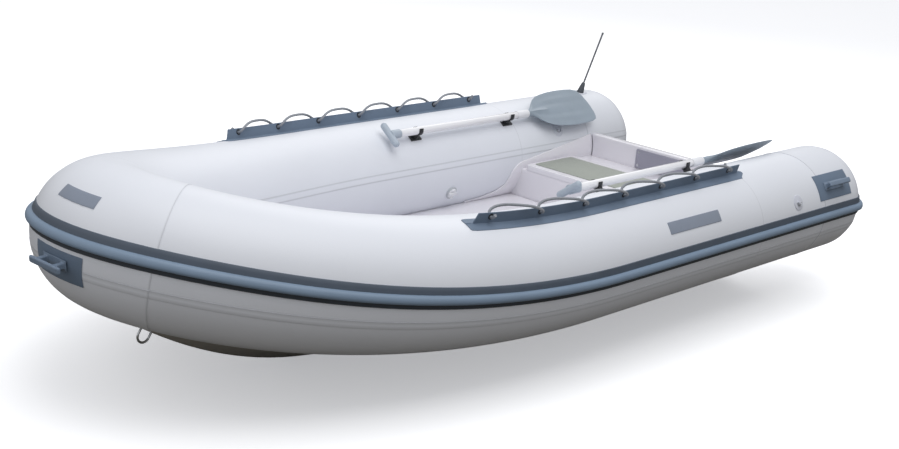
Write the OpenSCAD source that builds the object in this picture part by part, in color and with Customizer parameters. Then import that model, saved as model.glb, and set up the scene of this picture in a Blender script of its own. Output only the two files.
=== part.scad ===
// Rigid-hulled inflatable dinghy: an air-filled collar bonded to a moulded V hull,
// with a moulded deck liner, a locker seat, a transom, two stowed oars and a flagstaff.
// Millimetres. +X is forward, +Y is to port, +Z is up. The origin is under the middle of
// the boat, level with the flat of the keel.

/* [Boat] */
// Length over the fender, from bow to stern cones
boat_len = 3590; // [3300:10:4200]
// Width over the fender
boat_beam = 1714; // [1640:2:1900]
// Height of the straight tubes' axis above the keel
axis_z = 390; // [350:5:430]
// Outside diameter of the air tube
tube_d = 440; // [400:5:480]
// Thickness of the coated tube fabric
fabric_t = 1.2; // [0.9:0.1:2]
// How far the fender stands out from the tube
fender_t = 20; // [14:1:30]

/* [Bow] */
// Where the tubes leave the straight, ahead of midships
bend_x = 30; // [-200:10:200]
// Fullness of the bow curve along the boat
full_x = 1.9; // [1.7:0.05:2.6]
// Fullness of the bow curve across the boat
full_y = 2; // [1.9:0.02:2.4]
// How far the tube's axis rises at the bow
bow_rise = 159; // [100:1:220]
// Where that rise starts, ahead of midships
rise_x = 0; // [0:10:300]
// How late the rise comes in
rise_power = 2.55; // [1.8:0.05:3]
// How much wider the tube is at the bow, as a share of its diameter
bow_swell = 0.05; // [0.01:0.01:0.1]
// Turn along the bow curve at which the bow panel is joined
bow_seam_a = 75; // [60:5:80]

/* [Stern] */
// Depth of the rounded stern cone end
cone_depth = 165; // [120:5:210]
// Distance of the stern cone's seam from the stern
cone_seam_in = 415; // [360:5:440]
// Distance of the next seam from the stern
aft_seam_in = 945; // [900:5:1000]
// How much higher the fender runs round the bow than along the side
fender_lift = 53; // [20:1:60]
// Turn of the fender round each stern cone
wrap_a = 125; // [100:5:150]

/* [Hull] */
// Thickness of the moulded hull
hull_t = 6; // [4:0.5:10]
// Half width of the flat along the keel
keel_half = 50; // [30:5:80]
// Where the keel starts to rise, ahead of midships
keel_rise_x = 600; // [300:10:800]
// Height of the stem head above the keel
stem_rise = 320; // [280:5:380]
// Height of the cockpit floor above the keel
floor_z = 245; // [220:5:270]
// Thickness of the deck moulding
liner_t = 5; // [3:0.5:8]

/* [Transom and seat] */
// Distance of the transom's inner face from the stern
transom_in = 420; // [380:5:460]
// Thickness of the transom
transom_t = 45; // [35:1:60]
// Height of the transom's top edge above the tubes' axis
transom_top = 80; // [40:5:100]
// Length of the seat locker
seat_len = 505; // [420:5:560]
// Height of the seat deck below the tubes' axis
seat_drop = 20; // [0:5:40]
// Length of the locker lid
lid_len = 332; // [280:2:340]
// Half width of the locker lid
lid_half = 368; // [300:2:372]
// Height of the locker lid
lid_h = 25; // [20:1:35]
// Thickness of the non-skid pad
pad_t = 3; // [2:0.5:5]

/* [Fittings] */
// Position of the first rope eyelet, ahead of midships
eyelet_x = 560; // [480:10:600]
// Spacing of the rope eyelets
eyelet_pitch = 227; // [200:1:240]
// Number of rope eyelets on each strip
eyelet_count = 7; // [5:1:7]
// Height of the rope strip's upright
strip_h = 42; // [38:1:50]
// Place of the rope strip round the tube, from outboard
strip_a = 75; // [65:1:85]
// Rope diameter
rope_d = 10; // [8:1:12]
// Diameter of the oar shaft
oar_d = 32; // [28:1:36]
// Place of the oars round the tube, from outboard
oar_a = 127; // [120:1:130]
// Height of the oar shaft's axis above the tube
oar_lift = 38; // [34:1:50]
// Diameter of the flagstaff
staff_d = 8; // [6:1:10]
// Length of the flagstaff
staff_len = 300; // [200:10:500]
// Lean of the flagstaff, aft
staff_lean = 21; // [0:1:30]
// Diameter of the valve's flange
valve_d = 58; // [50:1:70]
// Diameter of the steel rod in the tow eye
eye_rod = 8; // [6:1:10]

/* [Hidden] */
$fn = 64;

// Clearances
GAP = 0.3;
RUN = 0.05;
// Sides of a swept tube, and the step round the bow in degrees
SIDES = 40;
STEP = 5;

tube_r = tube_d / 2;
tube_y = boat_beam / 2 - tube_r - fender_t;
bow_r = tube_r * (1 + bow_swell);
ridge_mid = 7;
apex_x = boat_len / 2 - fender_t - sqrt(bow_r * bow_r - pow(fender_lift + ridge_mid, 2));
cone_x = -boat_len / 2 + fender_t + cone_depth;
cone_seam_x = -boat_len / 2 + cone_seam_in;
aft_seam_x = -boat_len / 2 + aft_seam_in;
transom_x = -boat_len / 2 + transom_in;
seat_x = transom_x + seat_len;
deck_z = axis_z - seat_drop;

// ---- The collar's centre line ----

function unit(v) = v / norm(v);
function mix(a, b, k) = a + (b - a) * k;
function bow_x(t) = bend_x + (apex_x - bend_x) * pow(max(sin(t), 0), 2 / full_x);
function bow_y(t) = tube_y * sign(cos(t)) * pow(abs(cos(t)), 2 / full_y);
function rise(x) = bow_rise * pow(max(x - rise_x, 0) / (apex_x - rise_x), rise_power);
function bow_point(t) = [bow_x(t), bow_y(t), axis_z + rise(bow_x(t))];

// A station is a point of the centre line with its outward, upward and forward directions,
// how much of the tube's radius is left there, and how far round the bow it is.
function station(c, along, k = 1, bow = 0) =
    let (f = unit(along), n = unit([-along.y, along.x, 0]))
    [c, n, cross(f, n), f, k, bow];
function straight(x) = station([x, tube_y, axis_z], [1, 0, 0]);
function round_bow(t) =
    station(bow_point(t), bow_point(t + 0.5) - bow_point(t - 0.5), 1, pow(sin(t), 2));
function round_cone(a) =
    station([cone_x, tube_y, axis_z], [cos(a), sin(a), 0],
            1 / norm([cos(a), sin(a) * tube_r / cone_depth]));
function mirrored(s) = [mirror_y(s[0]), mirror_y(s[1]), mirror_y(s[2]), -mirror_y(s[3]), s[4], s[5]];
function mirror_y(v) = [v.x, -v.y, v.z];
// The port tube's station at a distance ahead of midships
function bow_turn(x) = asin(pow((x - bend_x) / (apex_x - bend_x), full_x / 2));
function station_at(x) = x <= bend_x ? straight(x) : round_bow(bow_turn(x));

function at(s, n, u) = s[0] + n * s[1] + u * s[2];
function on_ring(s, r, a) =
    let (big = r + tube_r * bow_swell * s[5]) at(s, big * cos(a), big * sin(a));
function ring(s, r) = [for (i = [0:SIDES - 1]) on_ring(s, r, 360 * i / SIDES)];
function reverse(v) = [for (i = [len(v) - 1:-1:0]) v[i]];

// ---- Solids made from rows of points ----

// The two ends of a loft. An even outline has its first half facing its second half, so its
// ends are ladders between the two, which hold for a bent outline too.
function loft_ends(n, end) =
    n % 2 == 1 ? [[for (i = [0:n - 1]) i], [for (i = [n - 1:-1:0]) end + i]] :
    [for (i = [0:n / 2 - 2])
        let (back = n - 1 - i)
        each [
            [i, i + 1, back], [i + 1, back - 1, back],
            [end + i, end + back, end + i + 1], [end + i + 1, end + back, end + back - 1],
        ]];

// A closed solid through equal closed outlines
module loft(rings) {
    n = len(rings[0]);
    last = len(rings) - 1;
    polyhedron(
        points = [for (r = rings, p = r) p],
        faces = concat(
            [for (j = [0:last - 1], i = [0:n - 1])
                let (a = j * n + i, b = j * n + (i + 1) % n)
                each [[a, a + n, b + n], [a, b + n, b]]],
            loft_ends(n, last * n)
        ),
        convexity = 10
    );
}

// A pipe with open ends through equal outlines, outer and inner
module pipe(outer, inner) {
    n = len(outer[0]);
    last = len(outer) - 1;
    half = n * (last + 1);
    end = last * n;
    polyhedron(
        points = concat([for (r = outer, p = r) p], [for (r = inner, p = r) p]),
        faces = [
            for (j = [0:last - 1], i = [0:n - 1])
                let (a = j * n + i, b = j * n + (i + 1) % n)
                each [
                    [a, a + n, b + n], [a, b + n, b],
                    [half + a, half + b + n, half + a + n], [half + a, half + b, half + b + n],
                ],
            for (i = [0:n - 1])
                let (a = i, b = (i + 1) % n)
                each [
                    [a, b, half + b], [a, half + b, half + a],
                    [end + a, end + half + b, end + b], [end + a, end + half + a, end + half + b],
                ],
        ],
        convexity = 10
    );
}

// A sheet with a lower and an upper side. Rows run forward, and points run to port.
module sheet(lower, upper) {
    n = len(lower[0]);
    last = len(lower) - 1;
    half = n * (last + 1);
    polyhedron(
        points = concat([for (r = lower, p = r) p], [for (r = upper, p = r) p]),
        faces = [
            for (j = [0:last - 1], i = [0:n - 2])
                let (a = j * n + i)
                each [
                    [a, a + n, a + n + 1], [a, a + n + 1, a + 1],
                    [half + a, half + a + n + 1, half + a + n], [half + a, half + a + 1, half + a + n + 1],
                ],
            for (i = [0:n - 2])
                let (e = last * n + i)
                each [
                    [i, i + 1, half + i + 1], [i, half + i + 1, half + i],
                    [e, half + e + 1, e + 1], [e, half + e, half + e + 1],
                ],
            for (j = [0:last - 1])
                let (a = j * n, b = j * n + n - 1)
                each [
                    [a, half + a, half + a + n], [a, half + a + n, a + n],
                    [b, half + b + n, half + b], [b, b + n, half + b + n],
                ],
        ],
        convexity = 10
    );
}

module to_starboard() {
    mirror([0, 1, 0]) children();
}

// Places a child on the port tube, with its own +Y straight out of the tube
module on_tube(x, a, r = tube_r) {
    translate([x, tube_y, axis_z]) rotate([a, 0, 0]) translate([0, r, 0]) children();
}

// A straight stretch along +X of what a child draws in the plane across the boat
module along_x(x0, x1) {
    translate([x0, 0, 0]) rotate([90, 0, 90]) linear_extrude(x1 - x0) children();
}

// A rod along +X
module rod(x0, x1, r) {
    translate([x0, 0, 0]) rotate([0, 90, 0]) cylinder(h = x1 - x0, r = r);
}

module tube_rod(x0, x1, r) {
    translate([0, tube_y, axis_z]) rod(x0, x1, r);
}

module rounded_plate(size, r) {
    linear_extrude(size.z) {
        translate([r - size.x / 2, r - size.y / 2]) square([size.x - 2 * r, size.y - 2 * r]);
        translate([-size.x / 2, r - size.y / 2]) square([size.x, size.y - 2 * r]);
        translate([r - size.x / 2, -size.y / 2]) square([size.x - 2 * r, size.y]);
        for (i = [-1, 1], j = [-1, 1])
            translate([i * (size.x / 2 - r), j * (size.y / 2 - r)]) circle(r);
    }
}

// ---- Collar ----

module collar_pipe(stations) {
    pipe([for (s = stations) ring(s, tube_r)], [for (s = stations) ring(s, tube_r - fabric_t)]);
}

module tube_bow() {
    color("#e4e6ef")
    collar_pipe([for (t = [bow_seam_a:STEP:180 - bow_seam_a]) round_bow(t)]);
}

valve_x = -433;
valve_a = 199;
valve_well_r = 21;

module fore_panel() {
    difference() {
        collar_pipe([straight(aft_seam_x), for (t = [0:STEP:bow_seam_a]) round_bow(t)]);
        on_tube(valve_x, valve_a) rotate([90, 0, 0]) cylinder(h = 30, r = valve_well_r + GAP, center = true);
    }
}

module tube_port_fore() {
    color("#e2e4ee") fore_panel();
}

module tube_starboard_fore() {
    color("#e2e4ee") to_starboard() fore_panel();
}

module straight_pipe(x0, x1, outer, inner) {
    difference() {
        tube_rod(x0, x1, outer);
        tube_rod(x0 - 1, x1 + 1, inner);
    }
}

module tube_port_aft() {
    color("#e0e2ec") straight_pipe(cone_seam_x, aft_seam_x, tube_r, tube_r - fabric_t);
}

module tube_starboard_aft() {
    color("#e0e2ec")
    to_starboard() straight_pipe(cone_seam_x, aft_seam_x, tube_r, tube_r - fabric_t);
}

// Quarter of an ellipse turned about the tube's axis, pointing aft
module cone_end(r, depth) {
    rotate([0, -90, 0])
    rotate_extrude()
    polygon([[0, 0], for (a = [0:7.5:90]) [r * cos(a), depth * sin(a)]]);
}

module cone() {
    translate([cone_x, tube_y, axis_z])
    difference() {
        cone_end(tube_r, cone_depth);
        cone_end(tube_r - fabric_t, cone_depth - fabric_t);
    }
    straight_pipe(cone_x - 0.01, cone_seam_x, tube_r, tube_r - fabric_t);
}

module cone_port() {
    color("#e3e5ee") cone();
}

module cone_starboard() {
    color("#e3e5ee") to_starboard() cone();
}

// A dished wall that parts the air chambers at a bow seam
baffle_dish = 45;
baffle_rim = 18;

module baffle() {
    s = round_bow(bow_seam_a);
    r = tube_r * (1 + bow_swell * s[5]) - 4.5;
    multmatrix([
        [s[1].x, s[2].x, s[3].x, s[0].x],
        [s[1].y, s[2].y, s[3].y, s[0].y],
        [s[1].z, s[2].z, s[3].z, s[0].z],
    ])
    rotate_extrude()
    polygon([
        [r, baffle_rim],
        [r, 0],
        for (k = [0.75, 0.5, 0.25, 0]) [r * k, -baffle_dish * (1 - k * k)],
        for (k = [0, 0.25, 0.5, 0.75]) [r * k, fabric_t - baffle_dish * (1 - k * k)],
        [r - fabric_t, fabric_t],
        [r - fabric_t, baffle_rim],
    ]);
}

module baffle_port() {
    color("#c9ccd6") baffle();
}

module baffle_starboard() {
    color("#c9ccd6") to_starboard() baffle();
}

// Fabric tapes inside the tubes, behind the cross seams of the straight panels
tape_w = 40;
tape_t = 0.8;

module seam_tape(x) {
    r = tube_r - fabric_t;
    straight_pipe(x - tape_w / 2, x + tape_w / 2, r, r - tape_t);
}

module seam_tapes() {
    color("#d5d8e0") {
        for (x = [aft_seam_x - tape_w / 2 - 1, cone_seam_x]) {
            seam_tape(x);
            to_starboard() seam_tape(x);
        }
    }
}

// ---- Fender ----

// Heights of the fender's edges round the tube, above its axis
band_low = -24;
band_high = 46;
band_t = 4;
wrap_path = concat(
    [for (a = [wrap_a:-STEP:40]) round_cone(a)],
    [for (a = [37.5:-STEP / 2:STEP / 2]) round_cone(a)],
    [straight(cone_x), straight(bend_x)]
);

fender_path = concat(
    wrap_path,
    [for (t = [STEP:STEP:180 - STEP]) round_bow(t)],
    reverse([for (s = wrap_path) mirrored(s)])
);

// A point of a profile that stands off the tube's side at a height
function off_tube(s, off, u) =
    let (r = tube_r * (1 + bow_swell * s[5]), h = u + fender_lift * s[5])
    at(s, s[4] * sqrt(r * r - h * h) + GAP + off, h);

module fender_sweep(back, front) {
    loft([for (s = fender_path)
        concat([for (p = front) off_tube(s, p[0], p[1])], [for (p = reverse(back)) off_tube(s, p[0], p[1])])]);
}

module fender_band() {
    heights = [for (k = [0:4]) mix(band_low, band_high, k / 4)];
    color("#5c6775")
    fender_sweep([for (u = heights) [0, u]], [for (u = heights) [band_t, u]]);
}

// The soft rubbing ridge along the band's lower half
ridge_low = ridge_mid - 15;
ridge_high = ridge_mid + 15;
ridge_out = fender_t - GAP - band_t;

module fender_ridge() {
    foot = band_t + GAP;
    profile = [[0.1, 0], [0.62, 0.02], [0.95, 0.2], [1, 0.42], [0.93, 0.68], [0.62, 0.92], [0.1, 1]];
    color("#76899c")
    fender_sweep(
        [for (k = [0:6]) [foot, mix(ridge_low, ridge_high, k / 6)]],
        [for (p = profile) [foot + p[0] * (ridge_out - GAP), mix(ridge_low, ridge_high, p[1])]]
    );
}

// ---- Hull and deck ----

// Where the hull touches the tube, round from outboard, at a turn along the bow
chine_a = -112;
flange_a = -136;
stem_chine_a = -83;
stem_flange_a = -95;
stem_x = apex_x + bow_r * cos(83);
HULL_END = 88;
FLANGE_T = 4.5;

function turn_share(t) = pow(t / 90, 2);
function keel_z(x) = stem_rise * pow(max(x - keel_rise_x, 0) / (stem_x - keel_rise_x), 2.13);
function keel_w(x) = mix(keel_half, 8, max(x - keel_rise_x, 0) / (stem_x - keel_rise_x));

// Turns of the stations that the hull and the deck share; a negative one is straight tube
hull_turns = [for (t = [STEP:STEP:85]) t];

// Half a hull section to port, from keel to flange: outer side, then inner side
function half_section(s, t) =
    let (
        a1 = mix(chine_a, stem_chine_a, turn_share(t)),
        a2 = mix(flange_a, stem_flange_a, turn_share(t)),
        step = (a1 - a2) / 3,
        rf = (tube_r + GAP) / cos(step / 2),
        chine = on_ring(s, rf, a1),
        keel = [chine.x, keel_w(chine.x), keel_z(chine.x)],
        bilge = mix(keel, chine, 0.55) + [0, 0, -9 * (1 - turn_share(t))]
    )
    [
        [keel, bilge, chine, for (k = [1:3]) on_ring(s, rf, a1 - k * step)],
        [keel + [0, 0, hull_t], bilge + [0, 0, hull_t], chine - 11 * s[1] + [0, 0, 2],
         for (k = [1:3]) on_ring(s, rf + FLANGE_T, a1 - k * step)],
    ];
function whole_row(half) = concat([for (p = reverse(half)) mirror_y(p)], half);
function hull_rows(side) = [
    for (x = [transom_x - transom_t, mix(transom_x, bend_x, 0.5), bend_x])
        whole_row(half_section(straight(x), 0)[side]),
    for (t = concat(hull_turns, [HULL_END])) whole_row(half_section(round_bow(t), t)[side]),
];

// The tow eye's place on the stem, and the slope of the keel there
eye_x = 1443;
eye_slope = atan((keel_z(eye_x + 10) - keel_z(eye_x - 10)) / 20);
eye_half = 23;
eye_drop = 42;

module at_tow_eye() {
    translate([eye_x, 0, keel_z(eye_x)]) rotate([0, -eye_slope, 0]) children();
}

module hull_shell() {
    color("#8f8a80")
    difference() {
        sheet(hull_rows(0), hull_rows(1));
        at_tow_eye()
        for (i = [-1, 1])
            translate([i * eye_half, 0, -15]) cylinder(h = 40, r = eye_rod / 2 + GAP, $fn = 32);
    }
}

// The floor meets the tube a little above the hull's flange
floor_a = asin((axis_z - floor_z) / (tube_r + 1)) - 180;

function floor_row(s, t) =
    let (
        edge = on_ring(s, tube_r + 1, floor_a),
        lift = (edge.z - floor_z) * pow(t / HULL_END, 0.5)
    )
    whole_row([for (k = [0.25, 0.6, 0.93]) [edge.x, edge.y * k, floor_z + lift], edge]);
floor_rows = [
    for (x = [transom_x, mix(transom_x, bend_x, 0.5), bend_x]) floor_row(straight(x), 0),
    for (t = hull_turns) floor_row(round_bow(t), t),
];

module deck_liner() {
    color("#e3dfe6")
    sheet([for (r = floor_rows) [for (p = r) p - [0, 0, liner_t]]], floor_rows);
}

// The hatch in the seat deck under the lid
hatch_margin = 34;
hatch_x0 = seat_x - lid_len + hatch_margin;
hatch_x1 = seat_x - hatch_margin;
hatch_half = lid_half - hatch_margin;
wall_clear = 1;
coaming_len = 310;

// Upper edge of the moulding that runs up against each tube, as distance ahead of the
// seat front and height above the floor
coaming_edge = [[coaming_len, 8], [213, 16], [130, 34], [85, 60], [58, 122], [30, 146], [0, 158]];

// What a child draws in the boat's side view, cut to the space between the tubes
module between_tubes(clear) {
    intersection() {
        rotate([90, 0, 0]) linear_extrude(2 * tube_y, center = true) children();
        along_x(transom_x - 10, seat_x + coaming_len + 10)
        difference() {
            translate([-tube_y + 5, 0]) square([2 * tube_y - 10, 2 * axis_z]);
            for (i = [-1, 1]) translate([i * tube_y, axis_z]) circle(r = tube_r + clear, $fn = 128);
        }
    }
}

module seat_shell() {
    over = axis_z + 200;
    color("#e8e4ea")
    difference() {
        between_tubes(wall_clear)
        polygon([
            [transom_x, floor_z + 0.05], [seat_x + coaming_len, floor_z + 0.05],
            for (p = coaming_edge) [seat_x + p[0], floor_z + p[1]],
            [transom_x, axis_z + transom_top],
        ]);
        between_tubes(wall_clear + liner_t) {
            translate([transom_x + liner_t, floor_z - 1])
            square([seat_len - 2 * liner_t, deck_z - liner_t - floor_z + 1]);
            polygon([
                [transom_x - 1, deck_z], [seat_x, deck_z], [seat_x, floor_z - 1],
                [seat_x + coaming_len + 1, floor_z - 1], [seat_x + coaming_len + 1, over],
                [transom_x - 1, over],
            ]);
        }
        translate([hatch_x0, -hatch_half, deck_z - 20])
        cube([hatch_x1 - hatch_x0, 2 * hatch_half, 40]);
    }
}

module transom_core() {
    s = straight(transom_x);
    chine = on_ring(s, tube_r + GAP, chine_a);
    clear = wall_clear + liner_t + GAP;
    color("#e6e3ea")
    along_x(transom_x - transom_t, transom_x)
    difference() {
        polygon([
            [-keel_half, hull_t + GAP], [keel_half, hull_t + GAP],
            [chine.y, chine.z + 2 * hull_t], [chine.y, axis_z + transom_top],
            [-chine.y, axis_z + transom_top], [-chine.y, chine.z + 2 * hull_t],
        ]);
        for (i = [-1, 1]) translate([i * tube_y, axis_z]) circle(r = tube_r + clear, $fn = 128);
    }
}

// Plates that the outboard motor's clamps bite on
pad_half = 140;
pad_plate_t = 6;
pad_margin = 14;
outer_pad_h = 220;
screw_r = 3;
head_r = 6;
head_t = 3;

// A plate whose countersunk side faces aft (out = -1) or forward (out = 1)
module motor_pad(x0, z0, z1, out) {
    difference() {
        translate([x0, 0, (z0 + z1) / 2]) rotate([90, 0, 90])
        rounded_plate([2 * pad_half, z1 - z0, pad_plate_t], 6);
        for (y = [-1, 1], z = [z0 + pad_margin, z1 - pad_margin])
            translate([0, y * (pad_half - pad_margin), z]) {
                rod(x0 - 5, x0 + pad_plate_t + 5, screw_r + 0.1);
                translate([out < 0 ? x0 : x0 + pad_plate_t, 0, 0])
                rotate([0, -90 * out, 0])
                translate([0, 0, -0.01]) cylinder(h = head_t + 0.3, r1 = head_r + 0.3, r2 = screw_r);
            }
    }
}

inner_pad_z = [deck_z + 1, axis_z + transom_top - 12];
outer_pad_z = [axis_z + transom_top - 12 - outer_pad_h, axis_z + transom_top - 12];

module motor_pad_inner() {
    color("#9a98a8") motor_pad(transom_x + GAP / 3, inner_pad_z[0], inner_pad_z[1], 1);
}

module motor_pad_outer() {
    color("#9a98a8")
    motor_pad(transom_x - transom_t - pad_plate_t - GAP / 3, outer_pad_z[0], outer_pad_z[1], -1);
}

// A countersunk screw whose head is flush with a pad, pointing along +X
module pad_screw() {
    rotate([0, 90, 0]) {
        translate([0, 0, 0.1]) cylinder(h = head_t, r1 = head_r, r2 = screw_r - 0.1);
        translate([0, 0, 0.2]) cylinder(h = pad_plate_t - 0.2, r = screw_r - 0.1);
    }
}

module pad_screws() {
    color("#b8bcc2")
    for (y = [-1, 1], k = [0, 1]) {
        inset = (1 - 2 * k) * pad_margin;
        translate([transom_x - transom_t - pad_plate_t - GAP / 3, y * (pad_half - pad_margin),
                   outer_pad_z[k] + inset])
        pad_screw();
        translate([transom_x + pad_plate_t + GAP / 3, y * (pad_half - pad_margin), inner_pad_z[k] + inset])
        rotate([0, 0, 180]) pad_screw();
    }
}

module tow_eye() {
    color("#c4c8cc")
    at_tow_eye() {
        translate([0, 0, -eye_drop + eye_half]) rotate([-90, 0, 0])
        rotate_extrude(angle = 180) translate([eye_half, 0]) circle(r = eye_rod / 2, $fn = 32);
        for (i = [-1, 1])
            translate([i * eye_half, 0, -eye_drop + eye_half])
            cylinder(h = eye_drop - eye_half + 30, r = eye_rod / 2, $fn = 32);
    }
}

eye_plate_t = 4;

module tow_eye_plate() {
    color("#b9bdc2")
    at_tow_eye()
    difference() {
        translate([0, 0, hull_t + 1.5]) rounded_plate([2 * eye_half + 26, 15, eye_plate_t], 4);
        for (i = [-1, 1]) translate([i * eye_half, 0, 0]) cylinder(h = 30, r = eye_rod / 2 + 0.1, $fn = 32);
    }
}

module tow_eye_nuts() {
    color("#b0b4b9")
    at_tow_eye()
    for (i = [-1, 1])
        translate([i * eye_half, 0, hull_t + 1.5 + eye_plate_t + 0.05])
        difference() {
            cylinder(h = eye_rod * 0.8, r = eye_rod * 0.92, $fn = 6);
            translate([0, 0, -1]) cylinder(h = eye_rod, r = eye_rod / 2 + 0.02, $fn = 32);
        }
}

// ---- Locker lid ----

lid_wall = 5;
pad_inset = 38;

module locker_lid() {
    color("#ebe8ee")
    translate([seat_x - lid_len / 2 + 2, 0, deck_z + GAP])
    difference() {
        rounded_plate([lid_len, 2 * lid_half, lid_h], 14);
        translate([0, 0, -1])
        rounded_plate([lid_len - 2 * lid_wall, 2 * (lid_half - lid_wall), lid_h - lid_wall + 1], 9);
    }
}

module lid_pad() {
    color("#9fa39b")
    translate([seat_x - lid_len / 2 + 2, 0, deck_z + GAP + lid_h + 0.05])
    rounded_plate([lid_len - 2 * pad_inset, 2 * (lid_half - pad_inset / 2), pad_t], 10);
}

// Two butt hinges along the lid's after edge
hinge_y = 250;
knuckle_r = 5;
hinge_x = seat_x - lid_len + 2 - knuckle_r - 1.5;
hinge_z = deck_z + knuckle_r + 1;
leaf_t = 1.5;
hinge_w = 60;

module knuckle(y0, y1) {
    translate([hinge_x, y0, hinge_z]) rotate([-90, 0, 0])
    difference() {
        cylinder(h = y1 - y0, r = knuckle_r);
        translate([0, 0, -1]) cylinder(h = y1 - y0 + 2, r = 2 + RUN);
    }
}

module hinge_deck_leaves() {
    color("#c2c6ca")
    for (i = [-1, 1]) {
        for (j = [-1, 1])
            translate([0, i * hinge_y + j * hinge_w / 3, 0]) knuckle(-hinge_w / 6 + GAP, hinge_w / 6 - GAP);
        translate([hinge_x - 30, i * hinge_y - hinge_w / 2 + GAP, deck_z + 0.1])
        cube([30 - knuckle_r - GAP, hinge_w - 2 * GAP, leaf_t]);
        for (j = [-1, 1])
            translate([hinge_x - knuckle_r - 3, i * hinge_y + (2 * j - 1) * hinge_w / 6 + GAP, deck_z + 0.1])
            cube([knuckle_r + 1, hinge_w / 3 - 2 * GAP, 2.8]);
    }
}

module hinge_lid_leaves() {
    color("#c2c6ca")
    for (i = [-1, 1])
        translate([0, i * hinge_y, 0]) {
            knuckle(-hinge_w / 6 + GAP, hinge_w / 6 - GAP);
            translate([hinge_x + knuckle_r - 0.3, -hinge_w / 6 + GAP, hinge_z - 1])
            cube([leaf_t, hinge_w / 3 - 2 * GAP, lid_h - knuckle_r - 3]);
        }
}

module hinge_pins() {
    color("#d0d3d6")
    for (i = [-1, 1])
        translate([hinge_x, i * hinge_y - hinge_w / 2 + 1, hinge_z])
        rotate([-90, 0, 0]) cylinder(h = hinge_w - 2, r = 2);
}

// ---- Handles ----

patch_t = 2;
stern_handle_x = -1450;
stern_handle_a = 33;
stern_patch = [256, 110];
patch_step = 1.25;
bow_patch_a = [-20, 4];
bow_patch_turn = 5.5;

// A thin patch that hugs the port tube
module hugging_patch(x, a, size, r) {
    intersection() {
        straight_pipe(x - size.x, x + size.x, tube_r + patch_t, tube_r + 0.02);
        on_tube(x, a, tube_r - 40) rotate([-90, 0, 0]) rounded_plate([size.x, size.y, 80], r);
    }
}

// A thin sheet on the round of the bow, between two angles and as far to each side as a turn
module bow_sheet(angles, turns, thick) {
    rows = [for (k = [0:5]) mix(angles[0], angles[1], k / 5)];
    r = tube_r + 2 * GAP;
    loft([for (k = [0:4])
        let (s = round_bow(mix(turns[0], turns[1], k / 4)))
        concat([for (a = rows) on_ring(s, r + thick, a)], [for (a = reverse(rows)) on_ring(s, r, a)])]);
}

module stern_patch_sheet() {
    half = stern_patch.y / 2 / tube_r * 180 / PI;
    steps = ceil(2 * half / patch_step);
    angles = [for (k = [0:steps]) stern_handle_a + mix(-half, half, k / steps)];
    low = tube_r + GAP / 3;
    high = low + patch_t;
    translate([0, tube_y, axis_z])
    along_x(stern_handle_x - stern_patch.x / 2, stern_handle_x + stern_patch.x / 2)
    polygon(concat(
        [for (a = angles) low * [cos(a), sin(a)]],
        [for (a = reverse(angles)) high * [cos(a), sin(a)]]
    ));
}

module handle_patches() {
    color("#66748a") {
        stern_patch_sheet();
        to_starboard() stern_patch_sheet();
        bow_sheet(bow_patch_a, [90 - bow_patch_turn, 90 + bow_patch_turn], patch_t);
    }
}

// A moulded bar on two feet; its own +Y points out of the tube
module carry_handle(bar_len, bar_w, reach, foot_gap, foot_w, bar_t) {
    translate([0, reach - bar_t / 2, 0])
    hull()
    for (i = [-1, 1], j = [-1, 1])
        translate([i * (bar_len - bar_t) / 2, 0, j * (bar_w - bar_t) / 2]) sphere(d = bar_t, $fn = 12);
    for (i = [-1, 1])
        translate([i * (foot_gap + foot_w) / 2 - foot_w / 2, patch_t + 0.6, -bar_w / 2 + 2])
        cube([foot_w, reach - bar_t / 2 - patch_t - 0.6, bar_w - 4]);
}

module stern_handle() {
    on_tube(stern_handle_x, stern_handle_a) {
        carry_handle(165, 24, 42, 92, 22, 13);
        translate([-75, patch_t + 0.1, -18]) cube([150, 3, 36]);
    }
}

module stern_handle_port() {
    color("#76889c") stern_handle();
}

module stern_handle_starboard() {
    color("#76889c") to_starboard() stern_handle();
}

bow_handle_a = -6;

module bow_handle() {
    color("#7b8da0")
    translate([apex_x, 0, axis_z + bow_rise])
    rotate([0, -bow_handle_a, 0]) rotate([0, 0, -90])
    translate([0, bow_r, 0]) {
        carry_handle(156, 24, 46, 66, 18, 13);
        translate([-60, patch_t + 0.6, -19]) cube([120, 3, 38]);
    }
}

// ---- Grab line ----

strip_foot = 72;
strip_foot_t = 2;
strip_wall = 4;
strip_ends = [eyelet_x + 55, eyelet_x - (eyelet_count - 1) * eyelet_pitch - 76];
strip_tip = 38;
eyelet_up = 27;
strip_step = 52;

// The strip's outline across the tube at a distance ahead of midships: a wide foot that
// narrows to a tip at each end, and the upright
function strip_row(x, half, tall) =
    let (
        s = station_at(x),
        spread = half / tube_r * 180 / PI,
        wall = strip_wall / 2 / tube_r * 180 / PI,
        low = tube_r + 2 * GAP,
        foot = low + strip_foot_t,
        out = strip_a - spread,
        inn = strip_a + spread
    )
    [
        on_ring(s, low, out), on_ring(s, foot, out),
        on_ring(s, foot, mix(out, strip_a - wall, 0.5)), on_ring(s, foot, strip_a - wall),
        on_ring(s, tube_r + tall, strip_a - wall * 0.8), on_ring(s, tube_r + tall, strip_a + wall * 0.8),
        on_ring(s, foot, strip_a + wall), on_ring(s, foot, mix(inn, strip_a + wall, 0.5)),
        on_ring(s, foot, inn), on_ring(s, low, inn),
        for (a = [mix(inn, strip_a, 0.5), strip_a, mix(out, strip_a, 0.5)]) on_ring(s, low, a),
    ];

module at_eyelet(i) {
    s = station_at(eyelet_x - i * eyelet_pitch);
    up = unit(s[1] * cos(strip_a) + s[2] * sin(strip_a));
    side = cross(up, s[3]);
    c = on_ring(s, tube_r + eyelet_up, strip_a);
    multmatrix([
        [s[3].x, up.x, side.x, c.x],
        [s[3].y, up.y, side.y, c.y],
        [s[3].z, up.z, side.z, c.z],
    ])
    children();
}

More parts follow.
